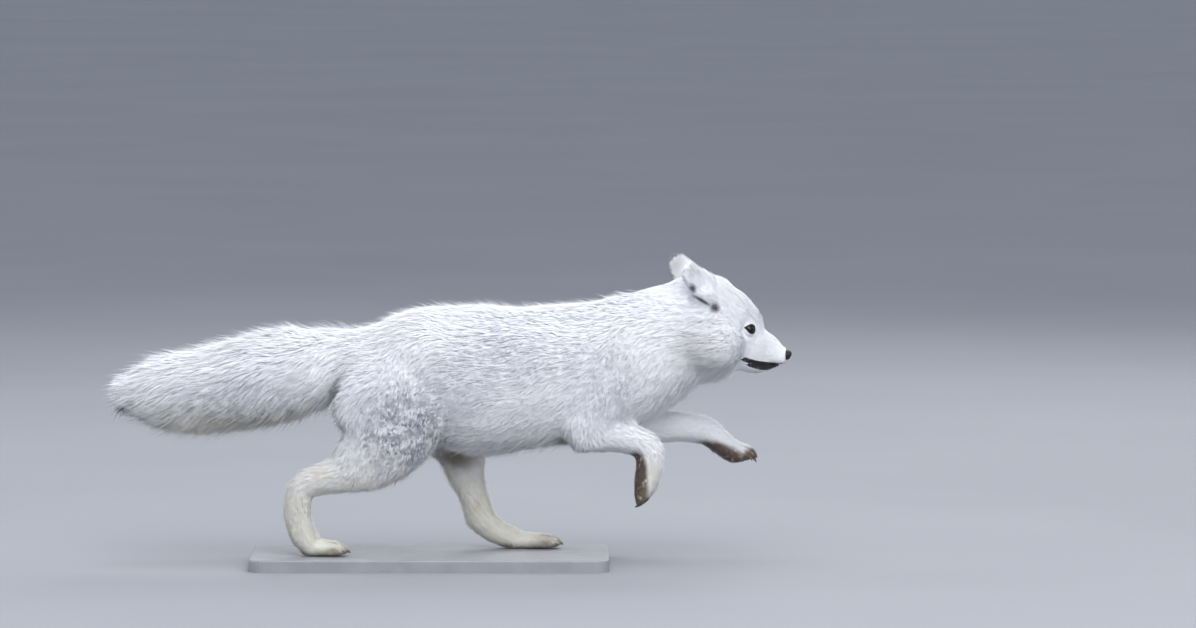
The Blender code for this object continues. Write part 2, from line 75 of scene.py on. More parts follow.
def middle(node):
    low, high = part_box(node)
    return (low + high) / 2


def raised(place):
    """A place measured from the top of the base, in the model's frame."""
    x, y, z = place
    return (x, y, z + TOP)


# ------------------------------------------------------------------ the head's own frame
# u runs forwards along the muzzle, v to the fox's left and w up. Nose and eyes place it.

# How far the nose is ahead of the eyes along u and below them along w, which gives the pitch
NOSE_AHEAD = 0.0605
NOSE_BELOW = 0.0225
# Middle of the left eye, and middle and radii of the nose
EYE_UVW = (0.0385, 0.0240, -0.0130)
NOSE_UVW = (0.0990, 0.0, -0.0355)
NOSE_RADII = (0.0072, 0.0080, 0.0062)


def head_frame():
    left, right, nose = middle("eye_left"), middle("eye_right"), middle("nose")
    side = (left - right).normalized()
    ahead = nose - (left + right) / 2
    ahead = (ahead - side * ahead.dot(side)).normalized()
    up = ahead.cross(side)
    pitch = math.atan2(NOSE_BELOW, NOSE_AHEAD)
    along = ahead * math.cos(pitch) + up * math.sin(pitch)
    up = along.cross(side)
    turn = Matrix((along, side, up)).transposed().to_4x4()
    between = (left + right) / 2
    origin = between - turn.to_3x3() @ Vector((EYE_UVW[0], 0.0, EYE_UVW[2]))
    return Matrix.Translation(origin) @ turn


HEAD = head_frame()
HEAD_INVERSE = HEAD.inverted()


def in_head(points):
    """An array of points of the model, in the head's frame."""
    m = np.array(HEAD_INVERSE)
    return points @ m[:3, :3].T + m[:3, 3]


def from_head(points):
    """An array of points given in the head's frame, in the model's."""
    m = np.array(HEAD)
    return np.asarray(points, float) @ m[:3, :3].T + m[:3, 3]


def head_place(uvw):
    """One point given in the head's frame, in the model's."""
    return tuple(HEAD @ Vector(uvw))


def both_sides(place):
    u, v, w = place
    return ((u, v, w), (u, -v, w))


def ramp(values, start, width):
    """0 up to start and 1 from one width beyond it. A width below 0 turns it round."""
    return np.clip((values - start) / width, 0, 1)


# ------------------------------------------------------------------ how the coat lies
# A run of the body, from where its hair comes to where it points: two points, how far its
# flesh reaches from that line, how deep its skin lies, and how its coat is: length of hair,
# how far the tips stand off the skin, width of a lock and locks on a square millimetre.
# The last six are the same for all runs of one kind.
Run = namedtuple("Run", "name start end reach depth hair rise wide dense")

TRUNK = (0.074, 0.0060, 0.0170, 0.0064, 0.00094, 0.56)
NECK = (0.062, 0.0068, 0.0200, 0.0074, 0.00098, 0.58)
BRUSH = (0.048, 0.0085, 0.0260, 0.0094, 0.00105, 0.66)
TAIL_END = (0.044, 0.0130, 0.0270, 0.0096, 0.00105, 0.72)
THIGH = (0.044, 0.0042, 0.0135, 0.0050, 0.00090, 0.60)
ARM = (0.034, 0.0032, 0.0110, 0.0042, 0.00082, 0.70)
SHANK = (0.023, 0.0014, 0.0085, 0.0033, 0.00070, 0.88)
SHIN = (0.016, 0.0008, 0.0064, 0.0027, 0.00062, 1.15)
FOOT = (0.015, 0.0008, 0.0036, 0.0011, 0.00050, 1.60)
MUZZLE = (0.017, 0.0003, 0.0026, 0.0006, 0.00036, 2.00)
FACE = (0.034, 0.0011, 0.0052, 0.0011, 0.00048, 1.25)
CROWN = (0.052, 0.0018, 0.0068, 0.0013, 0.00060, 1.10)
TEMPLE = (0.026, 0.0015, 0.0062, 0.0011, 0.00054, 1.10)
CHEEK = (0.034, 0.0040, 0.0140, 0.0046, 0.00078, 1.00)
EAR_BACK = (0.016, 0.0006, 0.0052, 0.0014, 0.00048, 1.20)
EAR_CUP = (0.012, 0.0006, 0.0105, 0.0030, 0.00055, 1.10)


def run(name, points, kind, head=False):
    """One Run for each length between two of the points."""
    points = from_head(points) if head else [raised(point) for point in points]
    return [Run(name, np.array(a), np.array(b), *kind) for a, b in zip(points, points[1:])]


# The left ear in the head's frame: its base, its tip and the way its cup faces
EAR_BASE = (-0.012, 0.034, 0.008)
EAR_TIP = (-0.0555, 0.046, 0.0500)
EAR_FACES = (0.25, 0.95, 0.15)
EAR_LENGTH = math.dist(EAR_BASE, EAR_TIP)


def ear_axes(side):
    """An ear's base, the way it points and the way its cup faces, in the head's frame."""
    mirror = np.array((1.0, side, 1.0))
    base = np.array(EAR_BASE) * mirror
    along = (np.array(EAR_TIP) * mirror - base) / EAR_LENGTH
    out = np.array(EAR_FACES) * mirror
    out -= along * (out @ along)
    return base, along, out / np.linalg.norm(out)


def ear_runs(name, side):
    """Short hair on the back of an ear, and longer hair that fills its cup."""
    base, along, out = ear_axes(side)
    back = [base + along * EAR_LENGTH * t - out * 0.009 for t in (0.15, 1.0)]
    cup = [base + along * EAR_LENGTH * t + out * 0.007 for t in (0.10, 0.92)]
    return run(name, back, EAR_BACK, head=True) + run(name, cup, EAR_CUP, head=True)


# Each run's piece, its kind of coat, and its points: above the base's top, or in the head's frame
BODY_RUNS = [
    ("trunk", TRUNK, (0.262, 0.002, 0.246), (0.150, 0.0, 0.216)),
    ("trunk", TRUNK, (0.150, 0.0, 0.216), (0.030, 0.0, 0.214), (-0.070, 0.0, 0.228)),
    ("neck", NECK, (0.338, 0.010, 0.283), (0.262, 0.002, 0.246)),
    ("tail", BRUSH, (-0.100, 0.0, 0.236), (-0.145, 0.001, 0.222), (-0.204, 0.003, 0.209)),
    ("tail", BRUSH, (-0.204, 0.003, 0.209), (-0.268, 0.006, 0.1965), (-0.310, 0.008, 0.194)),
    ("tail", TAIL_END, (-0.310, 0.008, 0.194), (-0.362, 0.010, 0.192)),
    ("hind_right", THIGH, (-0.03, -0.04, 0.235), (-0.047, -0.044, 0.170), (-0.075, -0.049, 0.114)),
    ("hind_left", THIGH, (-0.020, 0.038, 0.235), (0.005, 0.043, 0.170), (0.034, 0.046, 0.125)),
    ("hind_right", SHANK, (-0.075, -0.050, 0.112), (-0.150, -0.050, 0.086)),
    ("hind_left", SHANK, (0.034, 0.047, 0.125), (0.057, 0.046, 0.048)),
    ("hind_right", SHIN, (-0.156, -0.050, 0.080), (-0.150, -0.049, 0.022)),
    ("hind_left", SHIN, (0.057, 0.046, 0.043), (0.098, 0.046, 0.013)),
    ("hind_right", FOOT, (-0.148, -0.049, 0.012), (-0.098, -0.049, 0.008)),
    ("hind_left", FOOT, (0.100, 0.046, 0.010), (0.156, 0.046, 0.008)),
    ("fore_right", ARM, (0.222, -0.040, 0.235), (0.186, -0.047, 0.158)),
    ("fore_left", ARM, (0.222, 0.040, 0.235), (0.228, 0.046, 0.158)),
    ("fore_right", SHANK, (0.184, -0.048, 0.152), (0.260, -0.045, 0.134)),
    ("fore_left", SHANK, (0.228, 0.047, 0.150), (0.332, 0.044, 0.143)),
    ("fore_right", SHIN, (0.263, -0.045, 0.130), (0.260, -0.045, 0.092)),
    ("fore_left", SHIN, (0.333, 0.044, 0.142), (0.364, 0.044, 0.122)),
    ("fore_right", FOOT, (0.260, -0.045, 0.092), (0.252, -0.045, 0.064)),
    ("fore_left", FOOT, (0.364, 0.044, 0.122), (0.390, 0.044, 0.107)),
]
HEAD_RUNS = [
    ("head", MUZZLE, (0.100, 0.0, -0.040), (0.060, 0.0, -0.038)),
    ("head", FACE, (0.060, 0.0, -0.036), (0.025, 0.0, -0.020)),
    ("head", CROWN, (0.025, 0.0, -0.012), (-0.045, 0.0, -0.006)),
    ("head", CROWN, (0.030, 0.0, 0.012), (-0.028, 0.0, 0.020)),
    ("head", CHEEK, (0.019, 0.030, -0.048), (-0.020, 0.035, -0.056)),
    ("head", CHEEK, (0.019, -0.030, -0.048), (-0.020, -0.035, -0.056)),
    ("head", TEMPLE, (0.030, 0.028, -0.002), (-0.006, 0.038, 0.032)),
    ("head", TEMPLE, (0.030, -0.028, -0.002), (-0.006, -0.038, 0.032)),
]
RUNS = [part for name, kind, *points in BODY_RUNS for part in run(name, points, kind)]
RUNS += [part for name, kind, *points in HEAD_RUNS for part in run(name, points, kind, head=True)]
RUNS += ear_runs("ear_left", 1) + ear_runs("ear_right", -1)

# How sharply one run's coat gives way to the next, and how much softer its way turns
BLEND_SHARPNESS = 6.0
WAY_SHARPNESS = 0.45
SETTING_NAMES = ("depth", "hair", "rise", "wide", "dense")


def lie_of_coat(points):
    """For each point: the way its hair points, its settings by name, and its nearest run."""
    weights = np.zeros((len(RUNS), len(points)))
    for i, r in enumerate(RUNS):
        along = r.end - r.start
        t = np.clip((points - r.start) @ along / (along @ along), 0, 1)
        apart = np.linalg.norm(points - (r.start + t[:, None] * along), axis=1)
        weights[i] = -BLEND_SHARPNESS * (apart / r.reach) ** 2
    weights -= weights.max(axis=0)
    turning = np.exp(weights * WAY_SHARPNESS)
    turning /= turning.sum(axis=0)
    weights = np.exp(weights)
    weights /= weights.sum(axis=0)
    ways = np.array([(r.end - r.start) / np.linalg.norm(r.end - r.start) for r in RUNS])
    settings = {
        name: np.array([getattr(r, name) for r in RUNS]) @ weights for name in SETTING_NAMES
    }
    return turning.T @ ways, settings, weights.argmax(axis=0)


# ------------------------------------------------------------------ small mesh helpers

MERGED = 0.00001


def only(obj):
    """Deselect everything, then select this object and make it active."""
    bpy.ops.object.select_all(action="DESELECT")
    obj.select_set(True)
    bpy.context.view_layer.objects.active = obj


def apply_modifiers(obj):
    only(obj)
    for modifier in list(obj.modifiers):
        bpy.ops.object.modifier_apply(modifier=modifier.name)


def settle(obj):
    """Put the object's place, turn and scale into its mesh."""
    only(obj)
    bpy.ops.object.transform_apply(location=True, rotation=True, scale=True)


@contextmanager
def edited(obj):
    """Edit mode on this object alone, with all of it selected at the start."""
    only(obj)
    bpy.ops.object.mode_set(mode="EDIT")
    bpy.ops.mesh.select_all(action="SELECT")
    yield
    bpy.ops.object.mode_set(mode="OBJECT")


def joined(name, parts):
    """The parts as one object."""
    only(parts[0])
    for part in parts:
        part.select_set(True)
    bpy.ops.object.join()
    parts[0].name = name
    return parts[0]


def added(name, data):
    """A new object in the scene."""
    obj = bpy.data.objects.new(name, data)
    bpy.context.scene.collection.objects.link(obj)
    return obj


def copied_nodes(name, nodes):
    """One merged mesh from copies of these CAD nodes."""
    copies = []
    for node in nodes:
        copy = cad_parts[node].copy()
        copy.data = copy.data.copy()
        copy.parent = None
        for key in [key for key in copy.keys() if key.startswith("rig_")]:
            del copy[key]
        bpy.context.scene.collection.objects.link(copy)
        copies.append(copy)
    made = joined(name, copies)
    made.data.name = name
    with edited(made):
        bpy.ops.mesh.remove_doubles(threshold=MERGED)
    return made


def vertex_places(mesh):
    places = np.empty(len(mesh.vertices) * 3, np.float32)
    mesh.vertices.foreach_get("co", places)
    return places.reshape(-1, 3).astype(float)


def vertex_normals(mesh):
    normals = np.empty(len(mesh.vertices) * 3, np.float32)
    mesh.vertex_normals.foreach_get("vector", normals)
    return normals.reshape(-1, 3).astype(float)


def move_vertices(mesh, places):
    mesh.vertices.foreach_set("co", places.astype(np.float32).ravel())
    mesh.update()


def put_attribute(mesh, name, values):
    """A number on each vertex, for the materials."""
    made = mesh.attributes.new(name, "FLOAT", "POINT")
    made.data.foreach_set("value", values.astype(np.float32))


def edge_pairs(mesh):
    pairs = np.empty(len(mesh.edges) * 2, np.int32)
    mesh.edges.foreach_get("vertices", pairs)
    return pairs.reshape(-1, 2)


def relaxed(places, pairs, share, rounds):
    """Each place moved towards the mean of its neighbours, by its share, in rounds."""
    count = np.bincount(pairs.ravel(), minlength=len(places))[:, None]
    for _ in range(rounds):
        total = np.empty_like(places)
        for axis in range(3):
            total[:, axis] = np.bincount(pairs[:, 0], places[pairs[:, 1], axis], len(places))
            total[:, axis] += np.bincount(pairs[:, 1], places[pairs[:, 0], axis], len(places))
        places = places + share * (total / np.maximum(count, 1) - places)
    return places


def fall_off(points, centre, radii):
    """1 at the centre of an ellipsoid, 0 on it and outside, smooth between."""
    apart = np.linalg.norm((points - np.array(centre)) / np.array(radii), axis=1)
    return np.clip(1 - apart**2, 0, 1) ** 2


# ------------------------------------------------------------------ colours and finishes


class Pattern:
    """Short calls for the nodes of one procedural pattern in object coordinates."""

    def __init__(self, tree):
        self.tree = tree
        self.place = self.node("ShaderNodeTexCoord").outputs["Object"]

    def feed(self, node, inputs):
        """Give each of these inputs of a node its value, or link it to a socket."""
        for name, value in inputs.items():
            if isinstance(value, bpy.types.NodeSocket):
                self.tree.links.new(value, node.inputs[name])
            else:
                node.inputs[name].default_value = value

    def node(self, kind, inputs=None, **settings):
        made = self.tree.nodes.new(kind)
        for name, value in settings.items():
            setattr(made, name, value)
        self.feed(made, inputs or {})
        return made

    def maths(self, operation, a, b=0.0):
        return self.node("ShaderNodeMath", {0: a, 1: b}, operation=operation).outputs[0]

    def times(self, a, b):
        return self.maths("MULTIPLY", a, b)

    def most(self, shares):
        """The largest of several shares."""
        top = shares[0]
        for share in shares[1:]:
            top = self.maths("MAXIMUM", top, share)
        return top

    def noise(self, scale, detail=3.0, roughness=0.55, place=None):
        inputs = {
            "Vector": place or self.place,
            "Scale": scale,
            "Detail": detail,
            "Roughness": roughness,
        }
        return self.node("ShaderNodeTexNoise", inputs).outputs["Fac"]

    def step(self, value, low, high):
        """0 below low and 1 above high, smooth between. High may be the smaller one."""
        inputs = {"Value": value, "From Min": low, "From Max": high}
        made = self.node("ShaderNodeMapRange", inputs, interpolation_type="SMOOTHSTEP")
        return made.outputs["Result"]

    def stretched(self, centre, radii, turn=(0.0, 0.0, 0.0)):
        """Object coordinates measured from a centre, in units of the radii."""
        inputs = {"Vector": self.place, "Location": centre, "Rotation": turn, "Scale": radii}
        return self.node("ShaderNodeMapping", inputs, vector_type="TEXTURE").outputs["Vector"]

    def spot(self, centre, radii, inner, turn=(0.0, 0.0, 0.0)):
        """1 in the inner share of an ellipsoid and 0 outside it, smooth between."""
        inputs = {0: self.stretched(centre, radii, turn)}
        length = self.node("ShaderNodeVectorMath", inputs, operation="LENGTH")
        return self.step(length.outputs["Value"], 1.0, inner)

    def coordinate(self, axis):
        return self.node("ShaderNodeSeparateXYZ", {0: self.place}).outputs[axis]

    def mix(self, share, a, b, blend="MIX"):
        inputs = {"Factor": share, "A": a, "B": b}
        made = self.node("ShaderNodeMix", inputs, data_type="RGBA", blend_type=blend)
        return made.outputs["Result"]

    def attribute(self, name):
        return self.node("ShaderNodeAttribute", attribute_name=name).outputs["Fac"]

    def bump(self, height, strength, distance, invert=False):
        inputs = {"Height": height, "Strength": strength, "Distance": distance}
        return self.node("ShaderNodeBump", inputs, invert=invert).outputs["Normal"]


def new_material(name):
    """A material, its shader and the pattern that feeds it."""
    made = bpy.data.materials.new(name)
    made.use_nodes = True
    tree = made.node_tree
    tree.nodes.clear()
    output = tree.nodes.new("ShaderNodeOutputMaterial")
    shader = tree.nodes.new("ShaderNodeBsdfPrincipled")
    tree.links.new(shader.outputs["BSDF"], output.inputs["Surface"])
    return made, shader, Pattern(tree)


def toned(colour, share, lift=0.0):
    """The colour with each channel times share, plus lift."""
    return tuple(min(1.0, channel * share + lift) for channel in colour[:3]) + (1.0,)


# ------------------------------------------------------------------ mouth and feet

# Where the dark lips begin in the head's frame, and the centre that they curve round in front
LIP_CORNER = 0.0385
LIP_CENTRE = 0.070
# The solid's mouth in the head's frame: its corner and its front as u and w, and half its gap
MOUTH_CORNER = (0.037, -0.0515)
MOUTH_FRONT = (0.112, -0.0490)
MOUTH_HALF_OPEN = 0.0040
# How far the lower jaw and the upper lip hang below their solids along the muzzle: u and drop
JAW_DROP = (
    (0.040, 0.056, 0.068, 0.075, 0.084, 0.093),
    (0.0, 0.0022, 0.0036, 0.0030, -0.0004, -0.0035),
)
LIP_DROP = ((0.045, 0.060, 0.075, 0.088, 0.095), (0.0, 0.0018, 0.0022, 0.0010, 0.0))
# Height over the mouth in which the upper lip's drop fades out
LIP_DEEP = 0.007


def mouth_line(u):
    """The height of the middle of the solid's mouth, and half of its opening."""
    (back, low), (front, high) = MOUTH_CORNER, MOUTH_FRONT
    t = (u - back) / (front - back)
    return low + (high - low) * t, MOUTH_HALF_OPEN * np.maximum(t, 0.0)


def upper_lip(u):
    level, half = mouth_line(u)
    return level + half - np.interp(u, *LIP_DROP)


def lower_lip(u):
    level, half = mouth_line(u)
    return level - half - np.interp(u, *JAW_DROP)


# Each foot's tip, and a place before it that gives its way, above the base's top
FOOT_TIPS = [
    ((-0.110, -0.049, 0.0080), (-0.126, -0.049, 0.0095)),
    ((0.144, 0.046, 0.0080), (0.124, 0.046, 0.0090)),
    ((0.2540, -0.045, 0.072), (0.2595, -0.045, 0.087)),
    ((0.380, 0.044, 0.1140), (0.366, 0.044, 0.1210)),
]
# From the middle of one toe to the next
TOE_PITCH = 0.00845


def foot_frames():
    """For each foot, its tip, the way it points, its side and its top."""
    frames = []
    for tip, before in FOOT_TIPS:
        tip, before = np.array(raised(tip)), np.array(raised(before))
        along = (tip - before) / np.linalg.norm(tip - before)
        side = np.array((0.0, 1.0, 0.0))
        frames.append((tip, along, side, np.cross(along, side)))
    return frames


# ------------------------------------------------------------------ markings

# A mark on the side of the head: its middle as u and w, its half length and half height,
# the angle by which it points up from u, and how far out and how deep it reaches
Mark = namedtuple("Mark", "u w long high angle out deep")

LIP_MARKS = [
    Mark(0.0480, -0.0518, 0.0150, 0.0026, -0.06, 0.0225, 0.028),
    Mark(0.0690, -0.0568, 0.0185, 0.0031, 0.04, 0.0225, 0.028),
    Mark(0.0820, -0.0535, 0.0080, 0.0022, 0.25, 0.0225, 0.028),
]
# Painted shadow along the lower rim of each ear's opening: a spot at each end and a line between
EAR_MARKS = [
    Mark(-0.0095, 0.0005, 0.0098, 0.0090, -0.60, 0.043, 0.022),
    Mark(-0.0270, 0.0050, 0.0205, 0.0034, -0.29, 0.047, 0.019),
    Mark(-0.0425, 0.0165, 0.0098, 0.0074, -0.80, 0.053, 0.019),
]


def mark_share(heads, marks, edge=1.0):
    """1 inside any of the marks and 0 outside, for points in the head's frame."""
    share = np.zeros(len(heads))
    for mark in marks:
        u, w = heads[:, 0] - mark.u, heads[:, 2] - mark.w
        c, s = math.cos(mark.angle), math.sin(mark.angle)
        apart = np.hypot((u * c + w * s) / mark.long, (w * c - u * s) / mark.high)
        share = np.maximum(share, apart < edge)
    return share


def marked(p, mark, side, inner):
    """A mark on one side of the head, as a share for a pattern."""
    turn = (HEAD.to_3x3() @ Matrix.Rotation(-mark.angle, 3, "Y")).to_euler()
    place = head_place((mark.u, side * mark.out, mark.w))
    return p.spot(place, (mark.long, mark.deep, mark.high), inner, tuple(turn))


# Grey hair with painted shade behind the ear, and painted shade round the eye, on the cheek
# and on the muzzle: centre and radii on the left of the head, and share
SHADE_AND_GREY = [
    ((-0.0520, 0.0370, 0.0450), (0.0190, 0.0150, 0.0270), 0.55),
    ((0.0400, 0.0260, -0.0110), (0.0180, 0.0200, 0.0160), 0.34),
    ((-0.0170, 0.0400, -0.0520), (0.0520, 0.0360, 0.0360), 0.52),
    ((0.0780, 0.0120, -0.0380), (0.0340, 0.0260, 0.0200), 0.24),
]
# Where dark hair flecks the coat: centre above the base's top, radii and share
FLECKS = [
    ((-0.030, 0.0, 0.152), (0.084, 0.300, 0.080), 1.5),
    ((0.020, 0.0, 0.200), (0.075, 0.300, 0.050), 0.7),
    ((0.110, 0.0, 0.235), (0.170, 0.300, 0.045), 0.60),
    ((0.212, 0.0, 0.205), (0.045, 0.300, 0.070), 0.70),
    ((-0.230, 0.0, 0.180), (0.120, 0.300, 0.050), 0.65),
]
# The muddy side of each forepaw: centre, radii and turn
MUD = [
    ((0.2490, -0.045, 0.088), (0.0180, 0.030, 0.052), (0.0, 0.0, 0.0)),
    ((0.2520, -0.045, 0.060), (0.0190, 0.030, 0.016), (0.0, 0.0, 0.0)),
    ((0.3590, 0.044, 0.1100), (0.048, 0.030, 0.0205), (0.0, 0.50, 0.0)),
    ((0.3870, 0.044, 0.1070), (0.0230, 0.030, 0.0170), (0.0, 0.50, 0.0)),
]
# Damp dirt on the hind feet, and darker patches in the groin and behind the elbows: centre and
# radii
DIRT = [
    ((-0.110, -0.049, 0.002), (0.040, 0.030, 0.017)),
    ((-0.152, -0.049, -0.001), (0.024, 0.030, 0.012)),
    ((0.140, 0.046, 0.004), (0.044, 0.030, 0.019)),
    ((0.100, 0.046, -0.001), (0.044, 0.030, 0.011)),
    ((0.030, 0.016, 0.112), (0.046, 0.036, 0.027)),
    ((0.170, 0.0, 0.136), (0.032, 0.080, 0.017)),
]
# The yellowed underside of the tail, and heights on the legs where the cream begins and is full
UNDER_TAIL = ((-0.235, 0.005, 0.150), (0.160, 0.080, 0.060))
CREAM_FROM, CREAM_FULL = 0.15, 0.05
# How strongly each marking shows where it is at its fullest
CREAM, STAIN, STREAKS, HAZE, FLECK = 0.80, 0.60, 0.90, 0.66, 0.85
MUDDY, DIRTY, TOE_GAPS, EAR_EDGE = 0.94, 0.85, 0.75, 0.95
# How much of a marking's radii is full, from 0 for a soft spot to 1 for a hard edge
SOFT_SPOT, FLECK_SPOT, MUD_SPOT, TOE_SPOT, SHADE_AND_GREY_SPOT, EAR_SPOT = 0.3, 0.35, 0.72, 0.6, 0.2, 0.15


def coat_colour(p, look):
    """The markings and the painted shade that skin and coat share, as one colour."""
    colour = p.mix(p.step(p.noise(9.0, 2.0), 0.35, 0.70), look.white, look.cool)
    low = p.step(p.coordinate("Z"), TOP + CREAM_FROM, TOP + CREAM_FULL)
    under = p.spot(raised(UNDER_TAIL[0]), UNDER_TAIL[1], SOFT_SPOT)
    colour = p.mix(p.times(p.most([low, under]), CREAM), colour, look.cream)
    streaked = p.stretched((0, 0, 0), (0.030, 0.012, 0.012), (0.0, 0.25, 0.0))
    strands = p.step(p.noise(1.0, 3.0, 0.65, streaked), 0.45, 0.65)
    streaks = p.times(strands, p.times(under, STREAKS))
    patches = p.times(p.step(p.noise(38.0, 4.0, 0.65), 0.50, 0.68), low)
    colour = p.mix(p.times(p.most([patches, streaks]), STAIN), colour, look.stain)
    patch = p.noise(48.0, 3.0, 0.60)
    speck = p.times(p.step(patch, 0.42, 0.60), p.step(p.noise(210.0, 3.0, 0.65), 0.46, 0.60))
    haze = p.times(p.step(p.noise(85.0, 4.0, 0.7), 0.36, 0.62), HAZE)
    where = p.most([p.times(p.spot(raised(c), r, FLECK_SPOT), share) for c, r, share in FLECKS])
    colour = p.mix(p.times(p.times(p.most([speck, haze]), where), FLECK), colour, look.fleck)
    ragged = p.times(p.step(p.noise(120.0, 4.0, 0.7), 0.24, 0.44), MUDDY)
    mud = p.most([p.spot(raised(c), r, MUD_SPOT, turn) for c, r, turn in MUD])
    colour = p.mix(p.times(mud, ragged), colour, look.mud)
    # Dirt on the hind feet, and darker patches in the groin and behind the elbows
    dirt = p.most([p.spot(raised(c), r, SOFT_SPOT) for c, r in DIRT])
    colour = p.mix(p.times(p.times(dirt, p.step(patch, 0.24, 0.48)), DIRTY), colour, look.dirt)
    colour = p.mix(p.times(toe_gaps(p), TOE_GAPS), colour, look.dirt)
    # Painted shade round the eyes, on the cheeks and on the muzzle, and grey hair with painted
    # shade behind the ears
    colour = p.mix(shade_and_grey_share(p), colour, look.ear)
    # Painted shadow along the lower rim of each ear's opening, broken up by noise where white hair
    # crosses it
    rims = p.most([marked(p, mark, side, EAR_SPOT) for mark in EAR_MARKS for side in (-1, 1)])
    bare = p.times(rims, p.step(p.noise(330.0, 2.0), 0.20, 0.42))
    return p.mix(p.times(bare, EAR_EDGE), colour, look.rim)


def toe_gaps(p):
    """Thin dark lines between the toes. 20 whole toes added keep the measure above 0."""
    gaps = []
    for tip, _ in FOOT_TIPS:
        across = p.maths("ADD", p.coordinate("Y"), 20 * TOE_PITCH - tip[1])
        apart = p.maths("PINGPONG", across, TOE_PITCH / 2)
        toes = p.spot(raised(tip), (0.020, 0.030, 0.016), TOE_SPOT)
        gaps.append(p.times(p.step(apart, 0.0016, 0.0003), toes))
    return p.most(gaps)


# Shares of the painted shade on the face, and of the grey hair with painted shade behind the ears
def shade_and_grey_share(p):
    turn = tuple(HEAD.to_euler())
    shares = []
    for centre, radii, share in SHADE_AND_GREY:
        for place in both_sides(centre):
            shares.append(p.times(p.spot(head_place(place), radii, SHADE_AND_GREY_SPOT, turn), share))
    return p.most(shares)


def tint(name, about, *rgb):
    """A colour that can be set."""
    return FloatVectorProperty(
        name=name, description=about, subtype="COLOR", size=4, default=(*rgb, 1)
    )


class FoxCoatSettings(bpy.types.PropertyGroup):
    """Colours of the coat and how finely it is made."""

    white: tint("White", "Main colour of the coat", 0.93, 0.935, 0.95)
    cool: tint("Cool white", "Cooler patches of the coat", 0.85, 0.865, 0.905)
    # Colour of the painted shade on the locks, deepest in the hollows between tufts
    shade: tint("Shade", "Tint of the deeper hair", 0.80, 0.81, 0.85)
    cream: tint("Cream", "Legs and under the tail", 0.76, 0.73, 0.62)
    stain: tint("Stain", "Yellow patches low on the legs", 0.66, 0.58, 0.38)
    fleck: tint("Flecks", "Dark hair ends on haunch and back", 0.24, 0.244, 0.305)
    mud: tint("Mud", "Behind the forepaws", 0.085, 0.043, 0.021)
    # Colour of the dirt on the hind feet and of the darker patches in the groin and behind the
    # elbows
    dirt: tint("Dirt", "Damp dirt on hind feet and groin", 0.19, 0.15, 0.10)
    # Colour of the painted shade round the eyes, on the cheeks and muzzle, and of the grey hair
    # behind the ears
    ear: tint("Grey", "Greyer hair on ears and face", 0.40, 0.38, 0.37)
    # Colour of the painted shadow along the rim of each ear's opening
    rim: tint("Ear marks", "Thinly haired edges at the base of the ears", 0.030, 0.028, 0.036)
    fineness: FloatProperty(
        name="Fineness",
        description="Number of locks, as a share of the full coat",
        default=0.95,
        min=0.05,
        max=2.0,
    )
    seed: IntProperty(name="Seed", description="Start of the random draws", default=11, min=0)


class FoxSkinSettings(bpy.types.PropertyGroup):
    """How finely the skin is made."""

    voxel: FloatProperty(
        name="Grain",
        description="Size of the skin's faces",
        default=0.0027,
        min=0.0015,
        unit="LENGTH",
    )
    lid: FloatProperty(
        name="Lid",
        description="Thickness of the eyelids",
        default=0.0011,
        min=0.0003,
        unit="LENGTH",
    )


class FoxFaceSettings(bpy.types.PropertyGroup):
    """Eyes, nose and lips."""

    iris: tint("Iris", "Colour of the iris", 0.007, 0.0035, 0.002)
    leather: tint("Nose", "Bare skin of nose and lips", 0.012, 0.011, 0.013)


class FoxStageSettings(bpy.types.PropertyGroup):
    """Camera and floor."""

    distance: FloatProperty(
        name="Distance",
        description="From camera to fox",
        default=10.0,
        min=2.0,
        unit="LENGTH",
    )
    width: FloatProperty(
        name="View width",
        description="Width of the view at the fox",
        default=1.4352,
        min=0.5,
        unit="LENGTH",
    )
    elevation: FloatProperty(
        name="Elevation",
        description="Camera's angle above the level",
        default=math.radians(4.0),
        subtype="ANGLE",
    )


# ------------------------------------------------------------------ skin

INSET_ROUNDS = 6
SMOOTH_ROUNDS = 8
# Depth of coat above which the skin is smoothed as it goes in, and over what further depth
SOFT_DEPTH = (0.0010, 0.005)


def inset(mesh, pairs):
    """Move the surface in by the coat's depth, a little at a time, and keep it smooth."""
    places = vertex_places(mesh)
    for _ in range(SMOOTH_ROUNDS):
        places = relaxed(places, pairs, 0.50, 1)
        places = relaxed(places, pairs, -0.50, 1)
    for _ in range(INSET_ROUNDS):
        move_vertices(mesh, places)
        depth = lie_of_coat(places)[1]["depth"][:, None]
        soft = ramp(depth, *SOFT_DEPTH) * 0.5
        places = places - vertex_normals(mesh) * depth / INSET_ROUNDS
        places = relaxed(places, pairs, soft, 2)
    return places


def push(places, centre, radii, way, far):
    """Move vertices near a centre of the head by far along way, both in its frame."""
    share = fall_off(in_head(places), centre, radii)[:, None]
    way = np.array(HEAD.to_3x3() @ Vector(way).normalized())
    return places + share * way * far


# Soft forms of the face, on the left: centre, radii, the way it moves and how far
FACE_FORMS = [
    ((0.056, 0.022, -0.018), (0.014, 0.012, 0.012), (0, -1, 0), 0.0030),
    ((0.040, 0.026, 0.004), (0.018, 0.014, 0.010), (0.3, 0.4, 1), 0.0018),
    ((0.034, 0.032, -0.030), (0.018, 0.016, 0.012), (0, 1, 0), 0.0016),
    ((0.085, 0.012, -0.042), (0.014, 0.010, 0.010), (0.1, 1, 0), 0.0016),
    ((-0.006, 0.0, 0.036), (0.032, 0.050, 0.026), (0.3, 0.0, 1), 0.0034),
    ((0.082, 0.0, -0.024), (0.028, 0.022, 0.018), (0, 0, 1), 0.0050),
]
